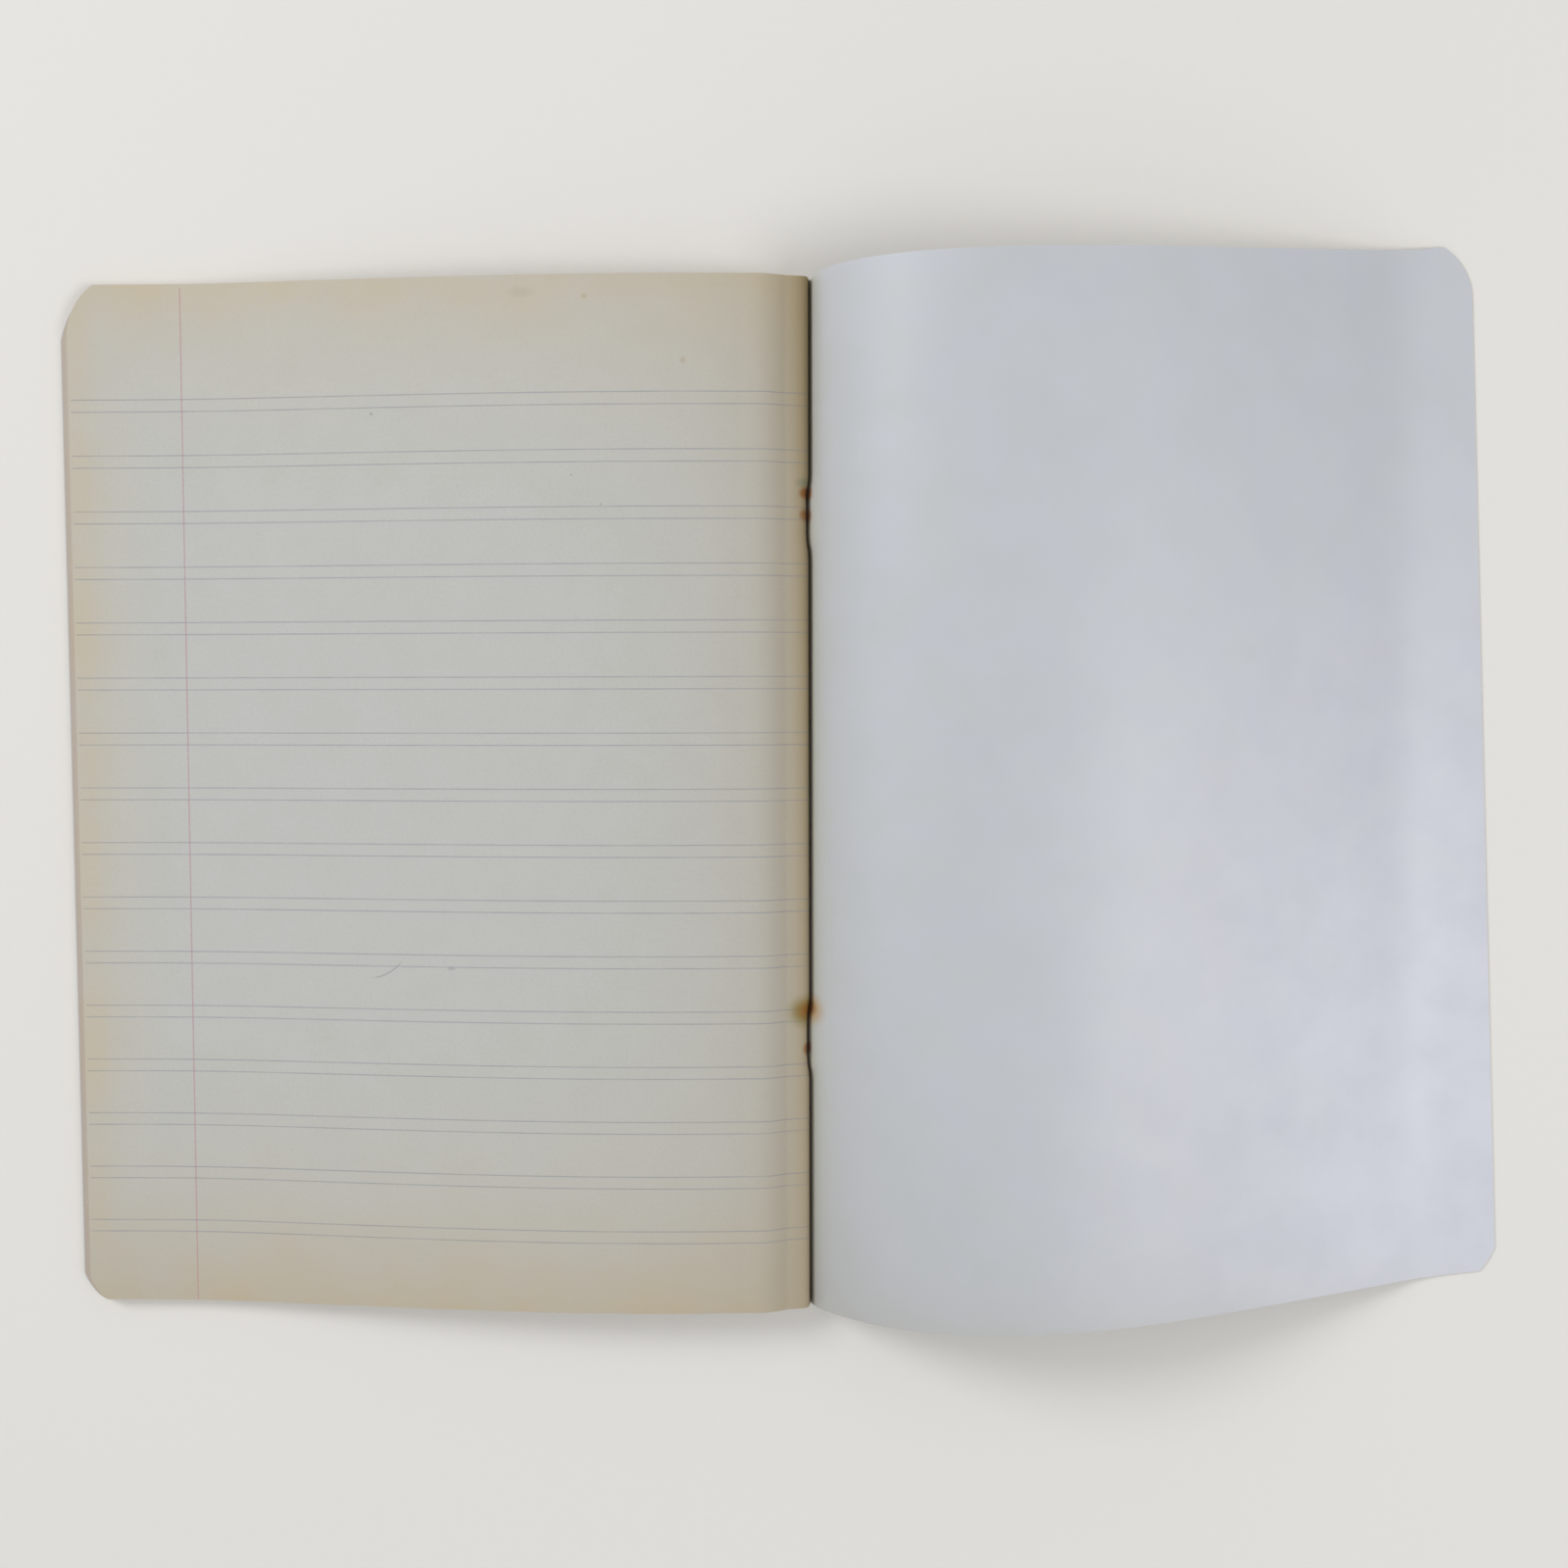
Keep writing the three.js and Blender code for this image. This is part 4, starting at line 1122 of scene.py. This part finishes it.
class NOTEBOOK_OT_cover(bpy.types.Operator):
    """Makes the cover from one sheet of card: the front half flat, the back half in an arch"""

    bl_idname = "notebook.cover"
    bl_label = "Cover"

    def execute(self, context):
        book, colours = context.scene.notebook_sizes, context.scene.notebook_colours
        spine = spine_of(book)
        finishes = [cover_card_inside(book, colours), cover_card_outside(book, colours)]
        finishes.append(cut_edge("cut_card_edge", linear("#d2cabc"), book.card))
        x, z, s = front_cover_line(book)
        width = book.page_width
        px, pz, ps = with_columns(x, z, s, corner_steps(width), 0, width)
        rows = rows_up(book, FRONT_COVER_ROWS)
        points, normals = sheet_grid(book, px, pz, ps, rows, width, lower_top_cut)
        front = shell(book, "card_front_cover", points, normals, book.card, ps, finishes)
        fold_x, fold_z = round_fold(book, LOW_LEAF_HEADING + 90, spine.cover)
        ends = [(fold_x - out, 0, fold_z) for out in FRONT_COVER_BEND]
        bend(book, front, "spine", "front_cover", *ends)
        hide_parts("front_cover", "cover_spine")
        self.back_half(book, finishes)
        return {"FINISHED"}

    def back_half(self, book, finishes):
        """Cuts the back half midway between its hinges, so that one hinge crosses each length."""
        arch = arch_length(book)
        rows = rows_up(book, CURVED_ROWS)
        hinges = BACK_COVER_HINGES
        cuts = [0, *[(a + b) / 2 for a, b in zip(hinges, hinges[1:])], 1]
        for i, (low, high) in enumerate(zip(cuts, cuts[1:])):
            before, after = BACK_COVER_BODIES[i : i + 2]
            count = int(BACK_COVER_COLUMNS * (high - low)) + LEAST_BACK_COLUMNS
            near_ends = [low + BACK_END_COLUMN, high - BACK_END_COLUMN]
            u = np.concatenate([np.linspace(low, high, count), near_ends])
            if high == 1:
                u = np.concatenate([u, corner_steps(arch) / arch])
            u = np.unique(u)
            points, normals = back_cover_grid(book, u, rows)
            along = book.page_width - arch + u * arch
            if i == 0:
                arc = np.linspace(STAPLE_ANGLE, COVER_START_ANGLE, BACK_FOLD_COLUMNS)[:-1]
                points, normals, along = self.with_fold(book, arc, points, normals, along)
            piece = shell(book, "card_" + after, points, normals, book.card, along, finishes)
            end_share = OUTER_BEND_END if high == 1 else high
            ends = back_cover_grid(book, np.array([low, end_share]), np.array([0, 1]))[0]
            first, last = ends.mean(1)
            way = (last - first) / np.linalg.norm(last - first)
            inset = [np.abs((end - end.mean(0)) @ way).max() + BACK_BEND_INSET for end in ends]
            bend(book, piece, before, after, first + way * inset[0], last - way * inset[1])
            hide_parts(*(["back_cover_strip"] if i == 0 else []), after)

    def with_fold(self, book, arc, points, normals, along):
        """Puts the round of the fold, from the staples on, before the arch's first columns."""
        spine = spine_of(book)
        x, z = round_fold(book, arc, spine.cover)
        y = points[:1, :, 1]
        turn = np.radians(arc)
        fold = np.stack(np.broadcast_arrays(x[:, None], y, z[:, None]), -1)
        inward = [-np.cos(turn)[:, None], 0 * y, -np.sin(turn)[:, None]]
        inward = np.stack(np.broadcast_arrays(*inward), -1)
        s = spine.cover * (turn - math.radians(STAPLE_ANGLE))
        pairs = ((fold, points), (inward, normals), (s, along))
        return [np.concatenate(pair) for pair in pairs]


class NOTEBOOK_OT_staples(bpy.types.Operator):
    """Gives both staples their rusted wire"""

    bl_idname = "notebook.staples"
    bl_label = "Staples"

    def execute(self, context):
        wire = staple_wire(context.scene.notebook_colours)
        for name in ("staple_upper", "staple_lower"):
            slots = frame["nodes"][name].material_slots
            if not slots:
                raise RuntimeError(f"{name} has no material slot")
            slots[0].material = wire
        return {"FINISHED"}


class NOTEBOOK_OT_studio(bpy.types.Operator):
    """Sets up the pale floor, the soft light and the camera over the book"""

    bl_idname = "notebook.studio"
    bl_label = "Studio"

    def execute(self, context):
        scene = context.scene
        scene.view_settings.view_transform = "Standard"
        self.floor(scene)
        self.light(scene)
        camera = bpy.data.cameras.new("studio_camera")
        camera.lens = CAMERA_LENS
        camera.sensor_width = CAMERA_SENSOR
        camera.clip_start = 0.01
        taker = bpy.data.objects.new("studio_camera", camera)
        taker.location = to_frame(scene.notebook_sizes, np.array(CAMERA_PLACE))
        taker.rotation_euler = Euler(CAMERA_TURN, "XYZ")
        scene.collection.objects.link(taker)
        scene.camera = taker
        return {"FINISHED"}

    def floor(self, scene):
        """A plain pale floor, a hair under the book, that turns to white far from it."""
        mesh = bpy.data.meshes.new("studio_floor")
        corners = [(-FLOOR_HALF, -FLOOR_HALF), (FLOOR_HALF, -FLOOR_HALF)]
        corners += [(-x, -y) for x, y in corners]
        mesh.from_pydata([(x, y, -FLOOR_DROP) for x, y in corners], [], [(0, 1, 2, 3)])
        made, tree, shader = material("matt_studio_floor", 0.9, Specular_IOR_Level=0.2)
        place = node(tree, "TexCoord").outputs["Object"]
        grain = patches(tree, place, (FLOOR_GRAIN, 3, 0.5), (0, 1, 0, 0.03))
        base = layered(tree, scene.notebook_colours.floor[:], [(linear("#b5b2ad"), grain)])
        tree.links.new(base, shader.inputs["Base Color"])
        away = node(tree, "VectorMath", {0: place}, operation="LENGTH").outputs["Value"]
        fade = {0: away, "From Min": FLOOR_FADE[0], "From Max": FLOOR_FADE[1]}
        far = node(tree, "MapRange", fade, interpolation_type="SMOOTHSTEP").outputs[0]
        seen = node(tree, "LightPath").outputs["Is Camera Ray"]
        mask = joined(tree, [far, seen], "MULTIPLY")
        white = node(tree, "Emission", {"Color": (1, 1, 1, 1), "Strength": 1.0}).outputs[0]
        mixed = node(tree, "MixShader", {0: mask, 1: shader.outputs[0], 2: white}).outputs[0]
        tree.links.new(mixed, tree.nodes["Material Output"].inputs["Surface"])
        mesh.materials.append(made)
        floor = bpy.data.objects.new("studio_floor", mesh)
        scene.collection.objects.link(floor)

    def light(self, scene):
        """An even sky and two large soft lamps, at which a colour renders about as written.

        The camera and reflections see the sky white.
        """
        world = bpy.data.worlds.new("studio_sky")
        world.use_nodes = True
        tree = world.node_tree
        tree.nodes.clear()
        path = node(tree, "LightPath")
        rays = [path.outputs["Is Camera Ray"], path.outputs["Is Glossy Ray"]]
        seen = joined(tree, rays, "MAXIMUM")
        even, white = (
            node(tree, "Background", {"Color": (1, 1, 1, 1), "Strength": strength}).outputs[0]
            for strength in (SKY_STRENGTH, 1)
        )
        mix = node(tree, "MixShader", {0: seen, 1: even, 2: white})
        node(tree, "OutputWorld", {"Surface": mix.outputs[0]})
        scene.world = world
        for name, place, power in LAMPS:
            lamp = bpy.data.lights.new(name, "AREA")
            lamp.shape = "DISK"
            lamp.size = LAMP_SIZE
            lamp.energy = power
            made = bpy.data.objects.new(name, lamp)
            made.location = place
            made.rotation_euler = Vector(place).to_track_quat("Z", "Y").to_euler()
            scene.collection.objects.link(made)


class NOTEBOOK_PT_panel(bpy.types.Panel):
    """Lists the notebook's pieces and its driving sizes"""

    bl_idname = "NOTEBOOK_PT_panel"
    bl_label = "Notebook"
    bl_space_type = "VIEW_3D"
    bl_region_type = "UI"
    bl_category = "Notebook"

    def draw(self, context):
        for operator in OPERATORS:
            self.layout.operator(operator.bl_idname)
        for group in GROUPS:
            box = self.layout.box()
            settings = getattr(context.scene, group)
            for key in settings.bl_rna.properties.keys():
                if key not in ("rna_type", "name"):
                    box.prop(settings, key)


GROUPS = {
    "notebook_sizes": NotebookSizes,
    "notebook_ruling": NotebookRuling,
    "notebook_colours": NotebookColours,
}
OPERATORS = [
    NOTEBOOK_OT_studio,
    NOTEBOOK_OT_cover,
    NOTEBOOK_OT_leaves,
    NOTEBOOK_OT_last_leaf,
    NOTEBOOK_OT_staples,
]


def register():
    """Makes the settings, the operators and the panel known to Blender."""
    for name, group in GROUPS.items():
        bpy.utils.register_class(group)
        setattr(bpy.types.Scene, name, PointerProperty(type=group))
    for made in [*OPERATORS, NOTEBOOK_PT_panel]:
        bpy.utils.register_class(made)


def unregister():
    """Takes them away again, in the opposite order."""
    for made in [NOTEBOOK_PT_panel, *reversed(OPERATORS)]:
        bpy.utils.unregister_class(made)
    for name, group in GROUPS.items():
        delattr(bpy.types.Scene, name)
        bpy.utils.unregister_class(group)


def main():
    """Makes the notebook and its studio."""
    register()
    bpy.ops.notebook.studio()
    bpy.ops.notebook.cover()
    bpy.ops.notebook.leaves()
    bpy.ops.notebook.last_leaf()
    bpy.ops.notebook.staples()


if __name__ == "__main__":
    main()
